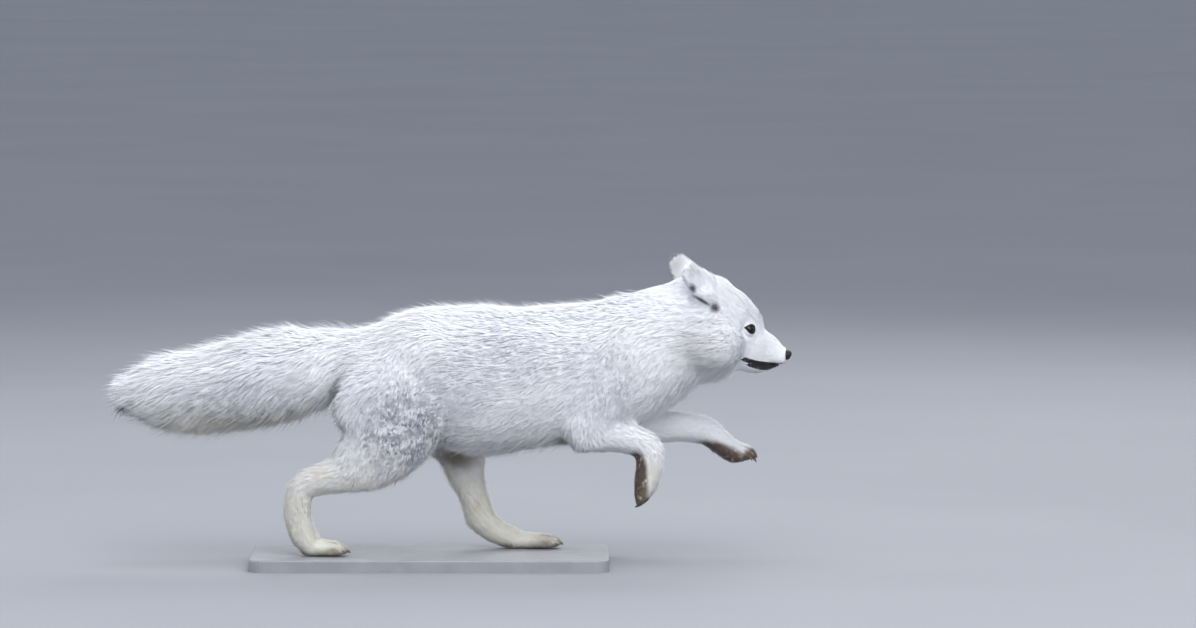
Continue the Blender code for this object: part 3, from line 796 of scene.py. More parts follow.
# The right ear lies a little lower than the left one: centre, radii, way and how far
EAR_FOLD = ((-0.0480, -0.044, 0.0440), (0.036, 0.030, 0.036), (-0.30, -0.25, -1), 0.0085)
# Where the cheek runs smoothly into the muzzle, and the crown into the ear: middle, radii
SMOOTH_PLACES = [
    ((0.038, 0.034, -0.046), (0.030, 0.026, 0.034)),
    ((0.006, 0.034, 0.018), (0.030, 0.024, 0.028)),
]
SMOOTHING_ROUNDS = 60
# The back of the right thigh stands out further than its solid: centre above the base, radii
# and how far
THIGH_BACK = ((-0.098, -0.045, 0.140), (0.036, 0.040, 0.044), 0.0095)


def shape_thigh(places):
    centre, radii, far = THIGH_BACK
    return places - fall_off(places, raised(centre), radii)[:, None] * np.array((far, 0.0, 0.0))


def shape_face(places):
    for centre, radii, way, far in FACE_FORMS:
        sides = zip(both_sides(centre), both_sides(way)) if centre[1] else [(centre, way)]
        for place, turned in sides:
            places = push(places, place, radii, turned, far)
    return push(places, *EAR_FOLD)


EYE_RADIUS = 0.0088
GAZE = (0.46, 0.86, 0.20)
# How the eyeball lies against its solid: deeper in the head, and moved in the head's frame
EYE_SINK = 0.0021
EYE_SHIFT = (0.0027, -0.0006, -0.0025)
# From the middle of the slit: back to its pointed corner, on to its round one, and up or down
SLIT = (0.0084, 0.0068, 0.0055)
SLIT_TILT = math.radians(-5.0)
# The lid goes from inside the eyeball to over it at this measure of the slit, over this width
LID_EDGE = (0.86, 0.22)
LID_INSIDE = 0.0016
# In radii of the eye: where the lid begins to run out into the face, and where it has, how
# far behind the eye's middle it is shaped, and how far from the middle it stays round
LID_LEAVES = 0.88
LID_REACH = 2.1
LID_BACK = 0.6
LID_ROUND = 0.90


def eye_centre(side):
    """The eyeball's centre, a little deeper in the head than its solid's."""
    out = eye_axes(side)[0]
    u, v, w = EYE_UVW
    return Vector((u + EYE_SHIFT[0], side * (v + EYE_SHIFT[1]), w + EYE_SHIFT[2])) - out * EYE_SINK


def eye_axes(side):
    """Out of the eye, along its slit towards the nose, and up across it, in the head's frame."""
    out = Vector((GAZE[0], side * GAZE[1], GAZE[2])).normalized()
    along = Vector((1, 0, -math.tan(SLIT_TILT)))
    along = (along - out * along.dot(out)).normalized()
    up = out.cross(along) * side
    if up.z < 0:
        up = -up
    return out, along, up


def slit_measure(a, b):
    """How far a point of the eye is from the middle of its slit, where 1 is the slit's edge."""
    back, front, high = SLIT
    m = np.abs(b) / high
    n = np.abs(a) / np.where(a < 0, back, front)
    return np.where(a < 0, (m + np.sqrt(m * m + 4 * n * n)) / 2, np.hypot(m, n))


def shape_lids(places, lid):
    """Lids that lie on each eyeball, open along an almond slit."""
    heads = in_head(places)
    for side in (-1, 1):
        centre = np.array(eye_centre(side))
        out, along, up = (np.array(axis) for axis in eye_axes(side))
        local = heads - centre
        a, b, c = local @ along, local @ up, local @ out
        flat = np.hypot(a, b)
        near = (flat < EYE_RADIUS * LID_REACH) & (c > -LID_BACK * EYE_RADIUS)
        slit = slit_measure(a, b)
        over = ramp(slit, *LID_EDGE)
        radius = (EYE_RADIUS - LID_INSIDE) * (1 - over) + (EYE_RADIUS + lid) * over
        held = np.minimum(flat, LID_ROUND * radius)
        wanted = np.sqrt(radius**2 - held**2)
        share = ramp(flat / EYE_RADIUS, LID_LEAVES, LID_REACH - LID_LEAVES)
        share = share * share * (3 - 2 * share)
        high = wanted * (1 - share) + c * share
        heads = np.where(near[:, None], heads + out * (high - c)[:, None], heads)
    return from_head(heads)


# The skin behind the nose pad, in the pad's radii: where it starts to be drawn in along the
# muzzle and round the pad, each with a width, and how far from the pad's middle it ends
TUCK_ALONG = (-0.40, 0.30)
TUCK_ROUND = (1.75, -0.25)
TUCKED = 0.50


def shape_muzzle_end(places):
    """Draw the skin in behind the nose pad."""
    heads = in_head(places)
    centre, radii = np.array(NOSE_UVW), np.array(NOSE_RADII)
    local = (heads - centre) / radii
    apart = np.linalg.norm(local, axis=1)
    held = ramp(local[:, 0], *TUCK_ALONG) * ramp(apart, *TUCK_ROUND)
    inside = local / np.maximum(apart, 1e-6)[:, None] * np.minimum(apart, TUCKED)[:, None]
    local += (inside - local) * held[:, None]
    return from_head(centre + local * radii)


def hang_mouth(places):
    """Let the lower jaw and the edge of the upper lip hang as they do in the living animal."""
    heads = in_head(places)
    u, w = heads[:, 0].copy(), heads[:, 2].copy()
    back, front = mouth_line(0.0)[0], mouth_line(1.0)[0]
    over = w - (back + (front - back) * u)
    edge = np.clip(1 - over / LIP_DEEP, 0, 1) * (over > 0)
    heads[:, 2] -= np.interp(u, *JAW_DROP) * (over <= 0) + np.interp(u, *LIP_DROP) * edge
    return from_head(heads)


# How far the bare skin goes past the opening of the mouth, and how much the lips swell
LIP_EDGE = 0.0007
LIP_SWELL = 0.0003
# Bare skin ends here towards the nose, and this far out to each side
BARE_FRONT, BARE_HALF = 0.1, 0.04


def bare_share(heads, edge=1.0):
    """1 on the dark lips and in the mouth, and 0 on hairy skin."""
    u, w = heads[:, 0], heads[:, 2]
    bare = mark_share(heads, LIP_MARKS, edge)
    # Between the lips: their own dark edges, and painted shade on the walls inside the mouth
    inside = (u > LIP_CORNER) & (u < BARE_FRONT)
    inside &= (w < upper_lip(u) + LIP_EDGE) & (w > lower_lip(u) - LIP_EDGE)
    return np.maximum(bare, inside) * (np.abs(heads[:, 1]) < BARE_HALF)


def shape_lips(places):
    """The bare lips stand a little out from the hairy skin round them."""
    heads = in_head(places)
    heads[:, 1] += np.sign(heads[:, 1]) * bare_share(heads) * LIP_SWELL
    return from_head(heads)


# An ear's cup: its depth, its middle as a share of the ear, and its half length and half width
CUP_DEPTH = 0.0038
CUP_MIDDLE = 0.56
CUP_HALF = (0.44, 0.0145)


def shape_ears(places):
    """Press a cup into the side of each ear that faces outwards."""
    heads = in_head(places)
    for side in (-1, 1):
        base, along, out = ear_axes(side)
        across = np.cross(out, along)
        local = heads - base
        a, s, h = local @ along / EAR_LENGTH, local @ across, local @ out
        apart = np.hypot((a - CUP_MIDDLE) / CUP_HALF[0], s / CUP_HALF[1])
        share = np.clip(1 - apart**2, 0, 1) ** 0.8 * ramp(h, 0.0005, 0.004)
        share[(np.abs(h) > 0.03) | (a > 1.1)] = 0
        heads = heads - out * (share * CUP_DEPTH)[:, None]
    return from_head(heads)


TOE_GROOVES = (-TOE_PITCH, 0.0, TOE_PITCH)
GROOVE_DEPTH = 0.0070
GROOVE_HALF = 0.0019
# How far behind a foot's tip the toes begin to part, and over what length
TOES_BEGIN = (-0.004, 0.008)


def shape_toes(places):
    """Grooves that part the toes, from above and in front."""
    for tip, along, side, up in foot_frames():
        local = places - tip
        a, s, h = local @ along, local @ side, local @ up
        ahead = ramp(a, *TOES_BEGIN) * (np.abs(s) < 0.022) * (np.abs(h) < 0.02) * (a < 0.03)
        for groove in TOE_GROOVES:
            share = np.exp(-(((s - groove) / GROOVE_HALF) ** 2)) * ahead
            inward = (tip + along * 0.004 - places) / 0.012
            inward -= side * (inward @ side)[:, None]
            places = places + inward * (share * GROOVE_DEPTH)[:, None]
    return places


def grow_skin(look):
    """One closed skin from copies of the solids, drawn in by the coat's depth and shaped."""
    skin = copied_nodes("skin", FLESH + FILLED)
    remesh = skin.modifiers.new("fuse", "REMESH")
    remesh.mode = "VOXEL"
    remesh.voxel_size = look.voxel
    apply_modifiers(skin)
    keep_largest(skin)
    mesh = skin.data
    move_vertices(mesh, inset(mesh, edge_pairs(mesh)))
    refine(skin, face_share)
    refine(skin, lid_share)
    pairs = edge_pairs(mesh)
    places = relaxed(vertex_places(mesh), pairs, 0.3, 2)
    heads = in_head(places)
    soft = sum(
        fall_off(heads, place, radii)
        for centre, radii in SMOOTH_PLACES
        for place in both_sides(centre)
    )
    places = relaxed(places, pairs, 0.5 * np.clip(soft * 2, 0, 1)[:, None], SMOOTHING_ROUNDS)
    for shape in (
        shape_face,
        shape_ears,
        shape_toes,
        shape_thigh,
        shape_muzzle_end,
        hang_mouth,
        shape_lips,
    ):
        places = shape(places)
    places = shape_lids(places, look.lid)
    move_vertices(mesh, places)
    only(skin)
    bpy.ops.object.shade_smooth()
    put_attribute(mesh, "bare", bare_share(in_head(places)))
    unwrap(skin)
    return skin


def keep_largest(obj):
    """Drop inner shells and crumbs that the remesh leaves."""
    bm = bmesh.new()
    bm.from_mesh(obj.data)
    bm.verts.ensure_lookup_table()
    group = np.full(len(bm.verts), -1)
    sizes = []
    for seed in bm.verts:
        if group[seed.index] >= 0:
            continue
        stack, label, size = [seed], len(sizes), 0
        group[seed.index] = label
        while stack:
            vert = stack.pop()
            size += 1
            for edge in vert.link_edges:
                other = edge.other_vert(vert)
                if group[other.index] < 0:
                    group[other.index] = label
                    stack.append(other)
        sizes.append(size)
    best = int(np.argmax(sizes))
    bmesh.ops.delete(bm, geom=[v for v in bm.verts if group[v.index] != best], context="VERTS")
    bm.to_mesh(obj.data)
    bm.free()


def face_share(places):
    """Where the skin needs smaller faces: the front of the head, and the feet."""
    heads = in_head(places)
    face = (heads[:, 0] > 0.018) & (np.abs(heads[:, 1]) < 0.06) & (heads[:, 2] > -0.080)
    for tip, along, side, _ in foot_frames():
        local = places - tip
        toes = (local @ along > -0.006) & (np.abs(local @ side) < 0.024)
        face |= toes & (np.linalg.norm(local, axis=1) < 0.03)
    return face


def lid_share(places):
    heads = in_head(places)
    near = np.zeros(len(places), bool)
    for side in (-1, 1):
        near |= np.linalg.norm(heads - np.array(eye_centre(side)), axis=1) < EYE_RADIUS * 1.7
    return near


def refine(skin, chosen):
    """Split the faces where chosen says so."""
    with edited(skin):
        bpy.ops.mesh.select_mode(type="VERT")
        bpy.ops.mesh.select_all(action="DESELECT")
    skin.data.vertices.foreach_set("select", chosen(vertex_places(skin.data)))
    bpy.ops.object.mode_set(mode="EDIT")
    bpy.ops.mesh.subdivide(number_cuts=1)
    bpy.ops.mesh.select_all(action="DESELECT")
    bpy.ops.object.mode_set(mode="OBJECT")


def unwrap(skin):
    skin.data.uv_layers.new(name="OFBake")
    with edited(skin):
        bpy.ops.uv.smart_project(angle_limit=math.radians(60.0), island_margin=0.002)


# Painted shade: the skin is a little darker than the hair that covers it, as the coat shades it
SKIN_SHADE = 0.88


def skin_material(look, face):
    made, shader, p = new_material("fox_skin")
    colour = p.mix(1.0, coat_colour(p, look), (SKIN_SHADE, SKIN_SHADE, SKIN_SHADE, 1), "MULTIPLY")
    # Dark leather on the lips, and painted shade on the walls inside the mouth
    bare = p.step(p.attribute("bare"), 0.25, 0.75)
    inputs = {
        "Base Color": p.mix(bare, colour, face.leather),
        "Roughness": p.maths("SUBTRACT", 0.9, p.times(bare, 0.55)),
        "Specular IOR Level": 0.3,
        "Normal": p.bump(p.noise(1400.0, 3.0, 0.7), 0.7, 0.0006),
    }
    p.feed(shader, inputs)
    return made


# ------------------------------------------------------------------ coat

# How far along a lock its ring of three corners stands
LOCK_BEND = 0.42
# How far a lock stands out below and above the middle of its ring, as a share of its width
LOCK_BELLY, LOCK_RIDGE = 0.08, 0.23
LOCK_SIDES = 3
# A lock's corners: 0 root, 1 to 3 ring, 4 tip. Its faces turn outwards.
LOCK_CORNERS = 5
LOCK_FACES = np.array([(0, 2, 1), (0, 3, 2), (0, 1, 3), (4, 1, 2), (4, 2, 3), (4, 3, 1)])
# Side of a lock's patch of the unwrap, and the most locks in one piece
LOCK_PATCH = 0.003
PIECE_LOCKS = 33000
# How much of a lock's shading comes from the skin under it, and not from its own roundness
SHADE_SOFTNESS = 0.84


def face_tables(mesh):
    """The corner vertices of the skin's triangles, and their OFBake places."""
    mesh.calc_loop_triangles()
    corners, loops = (np.empty(len(mesh.loop_triangles) * 3, np.int32) for _ in range(2))
    mesh.loop_triangles.foreach_get("vertices", corners)
    mesh.loop_triangles.foreach_get("loops", loops)
    uvs = np.empty(len(mesh.loops) * 2, np.float32)
    mesh.uv_layers["OFBake"].data.foreach_get("uv", uvs)
    return corners.reshape(-1, 3), uvs.reshape(-1, 2)[loops.reshape(-1, 3)].astype(float)


def sow(mesh, random, fineness):
    """Roots of the locks, spread evenly by area and by how dense the coat is there."""
    corners, uvs = face_tables(mesh)
    places, normals = vertex_places(mesh), vertex_normals(mesh)
    first, second, third = (places[corners[:, k]] for k in range(3))
    area = np.linalg.norm(np.cross(second - first, third - first), axis=1) / 2
    centres = places[corners].mean(axis=1)
    dense = lie_of_coat(centres)[1]["dense"] * 1e6 * fineness
    dense = dense * coat_cover(centres)
    steps = np.cumsum(area * dense)
    total = int(steps[-1])
    marks = np.arange(total) + random.random(total)
    chosen = np.searchsorted(steps, marks).clip(0, len(steps) - 1)
    a, b = random.random((2, total))
    over = a + b > 1
    a, b = np.where(over, 1 - a, a), np.where(over, 1 - b, b)
    share = np.stack((1 - a - b, a, b), axis=1)[:, :, None]
    roots = (places[corners[chosen]] * share).sum(axis=1)
    outward = (normals[corners[chosen]] * share).sum(axis=1)
    outward /= np.linalg.norm(outward, axis=1)[:, None]
    return roots, outward, (uvs[chosen] * share).sum(axis=1)


# No hair grows lower than this above the base's top, so the soles stay bare
SOLE = 0.0025
# In slits of the eye and radii of the nose: how much bare skin they have round them, and over
# what range the coat round them is denser, with how much denser it is
BARE_EYE, BARE_NOSE = 1.11, 1.0
EYE_DENSER, NOSE_DENSER = 1.8, 1.0
EYE_DENSER_OVER, NOSE_DENSER_OVER = (2.3, -0.9), (1.9, -0.6)
# Hair grows in over the lip marks, more below this height than above it: the share of a mark
# that stays bare there and above, and how ragged its edge is and over what distance
LIP_FRINGE = -0.0580
BARE_BELOW, BARE_ABOVE = 0.62, 0.98
RAGGED, RAGGED_OVER = 0.16, 0.0035


def coat_cover(points):
    """How much of the full coat grows at each point: none on soles, eyes, lips and nose."""
    heads = in_head(points)
    cover = np.ones(len(points))
    cover[points[:, 2] < TOP + SOLE] = 0
    nose = np.linalg.norm((heads - np.array(NOSE_UVW)) / np.array(NOSE_RADII), axis=1)
    eye = eye_apart(heads)
    by_eye, by_nose = ramp(eye, *EYE_DENSER_OVER), ramp(nose, *NOSE_DENSER_OVER)
    cover *= 1 + EYE_DENSER * by_eye + NOSE_DENSER * by_nose
    cover[nose < BARE_NOSE] = 0
    cover[eye < BARE_EYE] = 0
    edge = np.where(heads[:, 2] < LIP_FRINGE, BARE_BELOW, BARE_ABOVE)
    edge = edge + RAGGED * ripples(points, RAGGED_OVER)[0]
    cover[bare_share(heads, edge) > 0] = 0
    return cover


def eye_apart(heads):
    """How far each point is from the nearer eye's slit, where 1 is its edge."""
    apart = np.full(len(heads), 9.0)
    for side in (-1, 1):
        out, along, up = (np.array(axis) for axis in eye_axes(side))
        local = heads - np.array(eye_centre(side))
        slit = slit_measure(local @ along, local @ up)
        apart = np.where(local @ out > -0.002, np.minimum(apart, slit), apart)
    return apart


# Where hair starts to lengthen away from the eye's slit and the nose, and over what width
EYE_TRIM, NOSE_TRIM = (1.1, 1.8), (0.008, 0.010)
# How much the hair is cut by the lips, in marks this much larger than the bare ones
LIP_TRIM, LIP_TRIM_SIZE = 0.60, 1.5
# The share of its length that hair keeps between the toes, and half the width of a gap there
TOE_TRIM, TOE_GAP_HALF = 0.55, 0.0022


def trimmed(points):
    """How much shorter the hair is close to eyes, nose and lips, and between the toes."""
    heads = in_head(points)
    eye = ramp(eye_apart(heads), *EYE_TRIM)
    nose = ramp(np.linalg.norm(heads - np.array(NOSE_UVW), axis=1), *NOSE_TRIM)
    lip = 1 - LIP_TRIM * mark_share(heads, LIP_MARKS, LIP_TRIM_SIZE)
    toes = np.ones(len(points))
    for tip, along, side, _ in foot_frames():
        local = points - tip
        gap = np.abs((local @ side + TOE_PITCH / 2) % TOE_PITCH - TOE_PITCH / 2) < TOE_GAP_HALF
        toes[gap & (local @ along > -0.004) & (np.linalg.norm(local, axis=1) < 0.028)] = TOE_TRIM
    return toes * lip * (0.30 + 0.70 * np.minimum(eye, 0.3 + 0.7 * nose))


RIPPLE_SEED = 5
RIPPLE_WAVES = 14


def ripples(points, spacing):
    """A smooth random field, from -1 to 1, and the way it rises, with bumps spacing apart."""
    random = np.random.default_rng(RIPPLE_SEED)
    field, slope = np.zeros(len(points)), np.zeros((len(points), 3))
    for _ in range(RIPPLE_WAVES):
        wave = random.normal(size=3)
        wave *= random.uniform(0.7, 1.3) * 2 * math.pi / spacing / np.linalg.norm(wave)
        phase = points @ wave + random.uniform(0, 2 * math.pi)
        field += np.cos(phase)
        slope -= np.sin(phase)[:, None] * (wave / np.linalg.norm(wave))
    spread = math.sqrt(RIPPLE_WAVES / 2)
    return np.clip(field / spread / 1.6, -1, 1), slope / spread


def parted_by_eyes(ways, roots):
    """Turn the hair close to each eye away from it."""
    share = ramp(eye_apart(in_head(roots)), 2.6, -1.2)[:, None]
    for side in (-1, 1):
        away = roots - np.array(HEAD @ eye_centre(side))
        apart = np.linalg.norm(away, axis=1)[:, None]
        ways = np.where(apart < 0.03, ways * (1 - share) + away / apart * share * 1.5, ways)
    return ways


# Broad and narrow waves in the lie of the hair: each wave's way and start
BROAD_WAVES = [((83.0, 41.0, 29.0), 0.3), ((-37.0, 71.0, 53.0), 1.9), ((47.0, -59.0, 67.0), 4.2)]
NARROW_WAVES = [
    ((311.0, 97.0, -231.0), 2.2),
    ((-251.0, 273.0, 89.0), 5.1),
    ((127.0, -209.0, 297.0), 0.8),
]
LIE_WAVES = [(0.20, BROAD_WAVES), (0.15, NARROW_WAVES)]
# How far apart the broad and fine tufts are, and how strongly their locks gather
BROAD_TUFT, FINE_TUFT = 0.0125, 0.0062
BROAD_GATHER, FINE_GATHER = 0.0020, 0.0013
# How far long hair sags, and the length that counts as long
GRAVITY = 0.22
LONG_HAIR = 0.020
# How much single locks differ in way, length, width, rise and tone
WAY_SPREAD = 0.08
LENGTH_SPREAD = (0.70, 1.15)
WIDTH_SPREAD = RISE_SPREAD = (0.75, 1.25)
TONE, TONE_SPREAD = 0.36, 0.20
# Guard hairs: their share of the locks, and how much longer, thinner and steeper they are
GUARD_SHARE = 0.10
GUARD_LONG, GUARD_THIN, GUARD_STEEP = 0.30, 0.45, 0.50
# How far a lock's root is sunk in the skin
ROOT_SUNK = 0.0005
# How steeply a lock rises up to its ring and from there on, by its own rise, and the limits
FIRST_RISE, FIRST_LIMITS = 1.30, (0.05, 0.92)
THEN_RISE, THEN_LIMITS = 0.78, (0.02, 0.75)
# How much higher a lock stands in the middle of its tuft, and how much less painted shade its
# colour has there
TUFT_RISE, TUFT_LIGHT = 0.24, 0.26


def unit(ways):
    return ways / np.linalg.norm(ways, axis=1)[:, None]


def hair_ways(ways, roots, outward, long, random):
    """The way each lock lies on the skin, from its run's way. Long says how long its hair is."""
    for size, waves in LIE_WAVES:
        wave = np.stack([np.sin(roots @ np.array(k) + s) for k, s in waves], axis=1)
        ways = ways + size * wave * (0.4 + 0.6 * long)[:, None]
    ways[:, 2] -= GRAVITY * long
    ways = parted_by_eyes(ways, roots)
    ways += random.normal(0, WAY_SPREAD, (len(roots), 3))
    ways -= outward * (ways * outward).sum(axis=1)[:, None]
    return ways / (np.linalg.norm(ways, axis=1)[:, None] + 1e-9)


def tufts(roots, across, hair):
    """How much each lock stands up with its tuft, and how far it leans to the tuft's middle."""
    broad, broad_slope = ripples(roots, BROAD_TUFT)
    fine, fine_slope = ripples(roots, FINE_TUFT)
    share = ramp(hair, 0.006, 0.010)
    bump = 0.6 * broad * share + fine * (0.7 - 0.3 * share)
    broad_lean = broad_slope * (share * BROAD_GATHER)[:, None]
    fine_lean = fine_slope * (FINE_GATHER * np.clip(hair / 0.008, 0.25, 1))[:, None]
    return bump, ((broad_lean + fine_lean) * across).sum(axis=1)


def lock_shapes(roots, outward, random):
    """Root, ring and tip of each lock, its run, the ways it leaves and is ridged, and its tone with
    painted shade.
    """
    ways, settings, nearest = lie_of_coat(roots)
    count, full = len(roots), settings["hair"]
    long = np.clip(full / LONG_HAIR, 0, 1.3)
    ways = hair_ways(ways, roots, outward, long, random)
    across = np.cross(outward, ways)
    bump, gather = tufts(roots, across, full)
    trim = trimmed(roots)
    guard = (random.random(count) < GUARD_SHARE) * trim * np.clip(full / 0.008 - 0.75, 0, 1)
    hair = full * random.uniform(*LENGTH_SPREAD, count) * trim * (1 + GUARD_LONG * guard)
    wide = settings["wide"] * random.uniform(*WIDTH_SPREAD, count)
    wide = wide * (0.5 + 0.5 * trim) * (1 - GUARD_THIN * guard)
    rise = (settings["rise"] * trim + ROOT_SUNK) / (full * trim)
    rise = rise * random.uniform(*RISE_SPREAD, count)
    rise = rise * (1 + TUFT_RISE * bump + GUARD_STEEP * guard)
    steep = np.clip(FIRST_RISE * rise, *FIRST_LIMITS)
    shallow = np.clip(THEN_RISE * rise, *THEN_LIMITS)
    first = ways * np.sqrt(1 - steep**2)[:, None] + outward * steep[:, None]
    then = ways * np.sqrt(1 - shallow**2)[:, None] + outward * shallow[:, None]
    then[:, 2] -= 0.35 * GRAVITY * long
    then = unit(then + across * (gather * (1 - guard) / hair)[:, None])
    side = np.cross(outward, first)
    side /= np.linalg.norm(side, axis=1)[:, None] + 1e-9
    ridge = np.cross(first, side)
    start = roots - outward * ROOT_SUNK
    bend = start + first * (hair * LOCK_BEND)[:, None] + across * (0.35 * gather)[:, None]
    tip = bend + then * (hair * (1 - LOCK_BEND))[:, None]
    low, half = bend - ridge * (wide * LOCK_BELLY)[:, None], side * (wide / 2)[:, None]
    high = bend + ridge * (wide * LOCK_RIDGE)[:, None]
    places = np.stack((start, low - half, low + half, high, tip), axis=1)
    spread = random.uniform(-TONE_SPREAD, TONE_SPREAD, count)
    # Painted shade: locks in the hollows between tufts are darker and those in their middles
    # lighter; the spread is random tone
    tones_and_shade = np.clip(TONE - TUFT_LIGHT * bump + spread, 0, 1)
    return places, nearest, first, ridge, tones_and_shade


def lock_patch():
    """Where each face corner of a lock lies on its small patch of the unwrap."""
    columns = {(1, 2): 0, (2, 3): 1, (1, 3): 2}
    spots = []
    for face in LOCK_FACES:
        ring = tuple(sorted(c for c in face if c in (1, 2, 3)))
        column = columns[ring]
        for corner in face:
            if corner in (0, 4):
                spots.append(((column + 0.5) / LOCK_SIDES, 0.0 if corner == 0 else 1.0))
            else:
                spots.append(((column + ring.index(corner)) / LOCK_SIDES, 0.5))
    return (np.array(spots) - 0.5) * LOCK_PATCH


def coat_piece(name, places, uvs, tones_and_shade, shade, material):
    """One mesh of many locks."""
    count = len(places)
    mesh = bpy.data.meshes.new(name)
    corners = (LOCK_FACES[None] + np.arange(count)[:, None, None] * LOCK_CORNERS).reshape(-1)
    mesh.vertices.add(count * LOCK_CORNERS)
    mesh.vertices.foreach_set("co", places.astype(np.float32).ravel())
    mesh.loops.add(len(corners))
    mesh.loops.foreach_set("vertex_index", corners.astype(np.int32))
    mesh.polygons.add(count * len(LOCK_FACES))
    mesh.polygons.foreach_set("loop_start", np.arange(0, len(corners), 3, dtype=np.int32))
    mesh.update(calc_edges=True)
    patch = (uvs[:, None, :] + lock_patch()[None]).astype(np.float32)
    mesh.uv_layers.new(name="OFBake").data.foreach_set("uv", patch.ravel())
    put_attribute(mesh, "tone", np.repeat(tones_and_shade, LOCK_CORNERS))
    put_attribute(mesh, "along", np.tile((0.0, LOCK_BEND, LOCK_BEND, LOCK_BEND, 1.0), count))
    mesh.shade_smooth()
    mesh.normals_split_custom_set_from_vertices(shade.reshape(-1, 3).astype(np.float32))
    mesh.materials.append(material)
    obj = added(name, mesh)
    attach(obj, BODY)


def lock_normals(places, outward, first, ridge):
    """A normal for each corner of each lock, mostly the skin's, so that the coat shades as one."""
    ring = places[:, 1:4]
    away = ring - ring.mean(axis=1, keepdims=True)
    away /= np.linalg.norm(away, axis=2, keepdims=True) + 1e-9
    shade = np.repeat((outward * SHADE_SOFTNESS)[:, None, :], LOCK_CORNERS, axis=1)
    shade[:, 1:4] += away * (1 - SHADE_SOFTNESS)
    shade[:, 0] += ridge * (1 - SHADE_SOFTNESS)
    shade[:, 4] += (ridge + first * 0.3) * (1 - SHADE_SOFTNESS)
    return shade / np.linalg.norm(shade, axis=2, keepdims=True)


def region_of(nearest, roots):
    """The coat piece that each lock belongs to. The middle of the body leans a little left."""
    names = np.array([r.name for r in RUNS])[nearest]
    of_head = in_head(roots)[:, 1] > 0
    left = np.where(names == "head", of_head, roots[:, 1] > middle("neck").y * 0.2)
    halved = np.isin(names, ("head", "tail", "trunk", "neck"))
    sides = np.where(halved, np.where(left, "_left", "_right"), "")
    return np.char.add(np.char.add("coat_", names), sides)


def coat_material(look):
    made, shader, p = new_material("fox_coat")
    # Painted shade: each lock's tone draws it towards the shade colour, most in the hollows between
    # tufts
    tone = p.times(p.step(p.attribute("tone"), 0.0, 1.0), 0.50)
    colour = p.mix(tone, coat_colour(p, look), look.shade, "MULTIPLY")
    # Painted light: the roots of the locks are lightened against the shade deep in the coat
    root = p.times(p.step(p.attribute("along"), 0.40, 0.0), 0.60)
    inputs = {
        "Base Color": p.mix(root, colour, colour, "SCREEN"),
        "Roughness": 0.75,
        "Specular IOR Level": 0.25,
        "Sheen Weight": 0.3,
        "Sheen Roughness": 0.5,
    }
    p.feed(shader, inputs)
    return made


def grow_coat(look, skin):
    """Cover the skin in locks, in pieces by region of at most PIECE_LOCKS each."""
    random = np.random.default_rng(look.seed)
    fineness = look.fineness * 1.0
    roots, outward, uvs = sow(skin.data, random, fineness)
    places, nearest, first, ridge, tones_and_shade = lock_shapes(roots, outward, random)
    shade = lock_normals(places, outward, first, ridge)
    regions = region_of(nearest, roots)
    material = coat_material(look)
    for name in sorted(set(regions.tolist())):
        rows = np.flatnonzero(regions == name)
        parts = math.ceil(len(rows) / PIECE_LOCKS)
        for k, some in enumerate(np.array_split(rows, parts)):
            title = name if parts == 1 else f"{name}_{k + 1}"
            coat_piece(title, places[some], uvs[some], tones_and_shade[some], shade[some], material)


# ------------------------------------------------------------------ eyes, nose, lips and claws


def eye_material(name, colour, roughness):
    """Wet and smooth, with fine streaks of a deeper colour."""
    made, shader, p = new_material(name)
    streaks = p.step(p.noise(700.0, 4.0, 0.7), 0.35, 0.65)
    inputs = {
        "Base Color": p.mix(streaks, tuple(colour), toned(colour, 0.45)),
        "Roughness": roughness,
        "Specular IOR Level": 0.1,
        "Coat Weight": 0.5,
        "Coat Roughness": 0.02,
    }
    p.feed(shader, inputs)
    return made


# Height of the cornea over the eyeball, and half widths of iris and pupil
CORNEA_BULGE = 0.0009
CORNEA_HALF = 1.15
IRIS_HALF = 0.0062
PUPIL_HALF = 0.0030
# The eyeball stays this far inside the measure that the lids are shaped on
EYE_SLACK = 0.0002


def eye_part(centre):
    """0 for a face of the pupil, 1 for the iris and 2 for the rest of the eyeball."""
    flat = math.hypot(centre.x, centre.y)
    if flat > IRIS_HALF or centre.z < 0:
        return 2
    return 1 if flat > PUPIL_HALF else 0


def make_eye(word, side, materials):
    """An eyeball with a bulging cornea, and an iris and pupil as parts of its surface."""
    out, along, up = eye_axes(side)
    bpy.ops.object.select_all(action="DESELECT")
    bpy.ops.mesh.primitive_uv_sphere_add(segments=48, ring_count=32, radius=EYE_RADIUS - EYE_SLACK)
    eye = bpy.context.object
    eye.name = "eyeball_" + word
    turn = Matrix((along, up, out)).transposed()
    if turn.determinant() < 0:
        turn = Matrix((-along, up, out)).transposed()
    eye.matrix_world = HEAD @ Matrix.Translation(eye_centre(side)) @ turn.to_4x4()
    mesh = eye.data
    places = vertex_places(mesh)
    flat = np.hypot(places[:, 0], places[:, 1])
    bulge = np.clip(1 - (flat / (IRIS_HALF * CORNEA_HALF)) ** 2, 0, 1)
    places[:, 2] += CORNEA_BULGE * np.where(places[:, 2] > 0, bulge, 0)
    move_vertices(mesh, places)
    for material in materials:
        mesh.materials.append(material)
    for polygon in mesh.polygons:
        polygon.material_index = eye_part(polygon.center)
    settle(eye)
    bpy.ops.object.shade_smooth()
    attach(eye, BODY)
    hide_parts("eye_" + word)


def make_eyes(look):
    materials = [
        eye_material("eye_pupil", (0.001, 0.001, 0.001, 1), 0.05),
        eye_material("eye_iris", look.iris, 0.12),
        eye_material("eye_edge", (0.006, 0.004, 0.004, 1), 0.15),
    ]
    for word, side in SIDES:
        make_eye(word, side, materials)
    make_lid_rims(look)


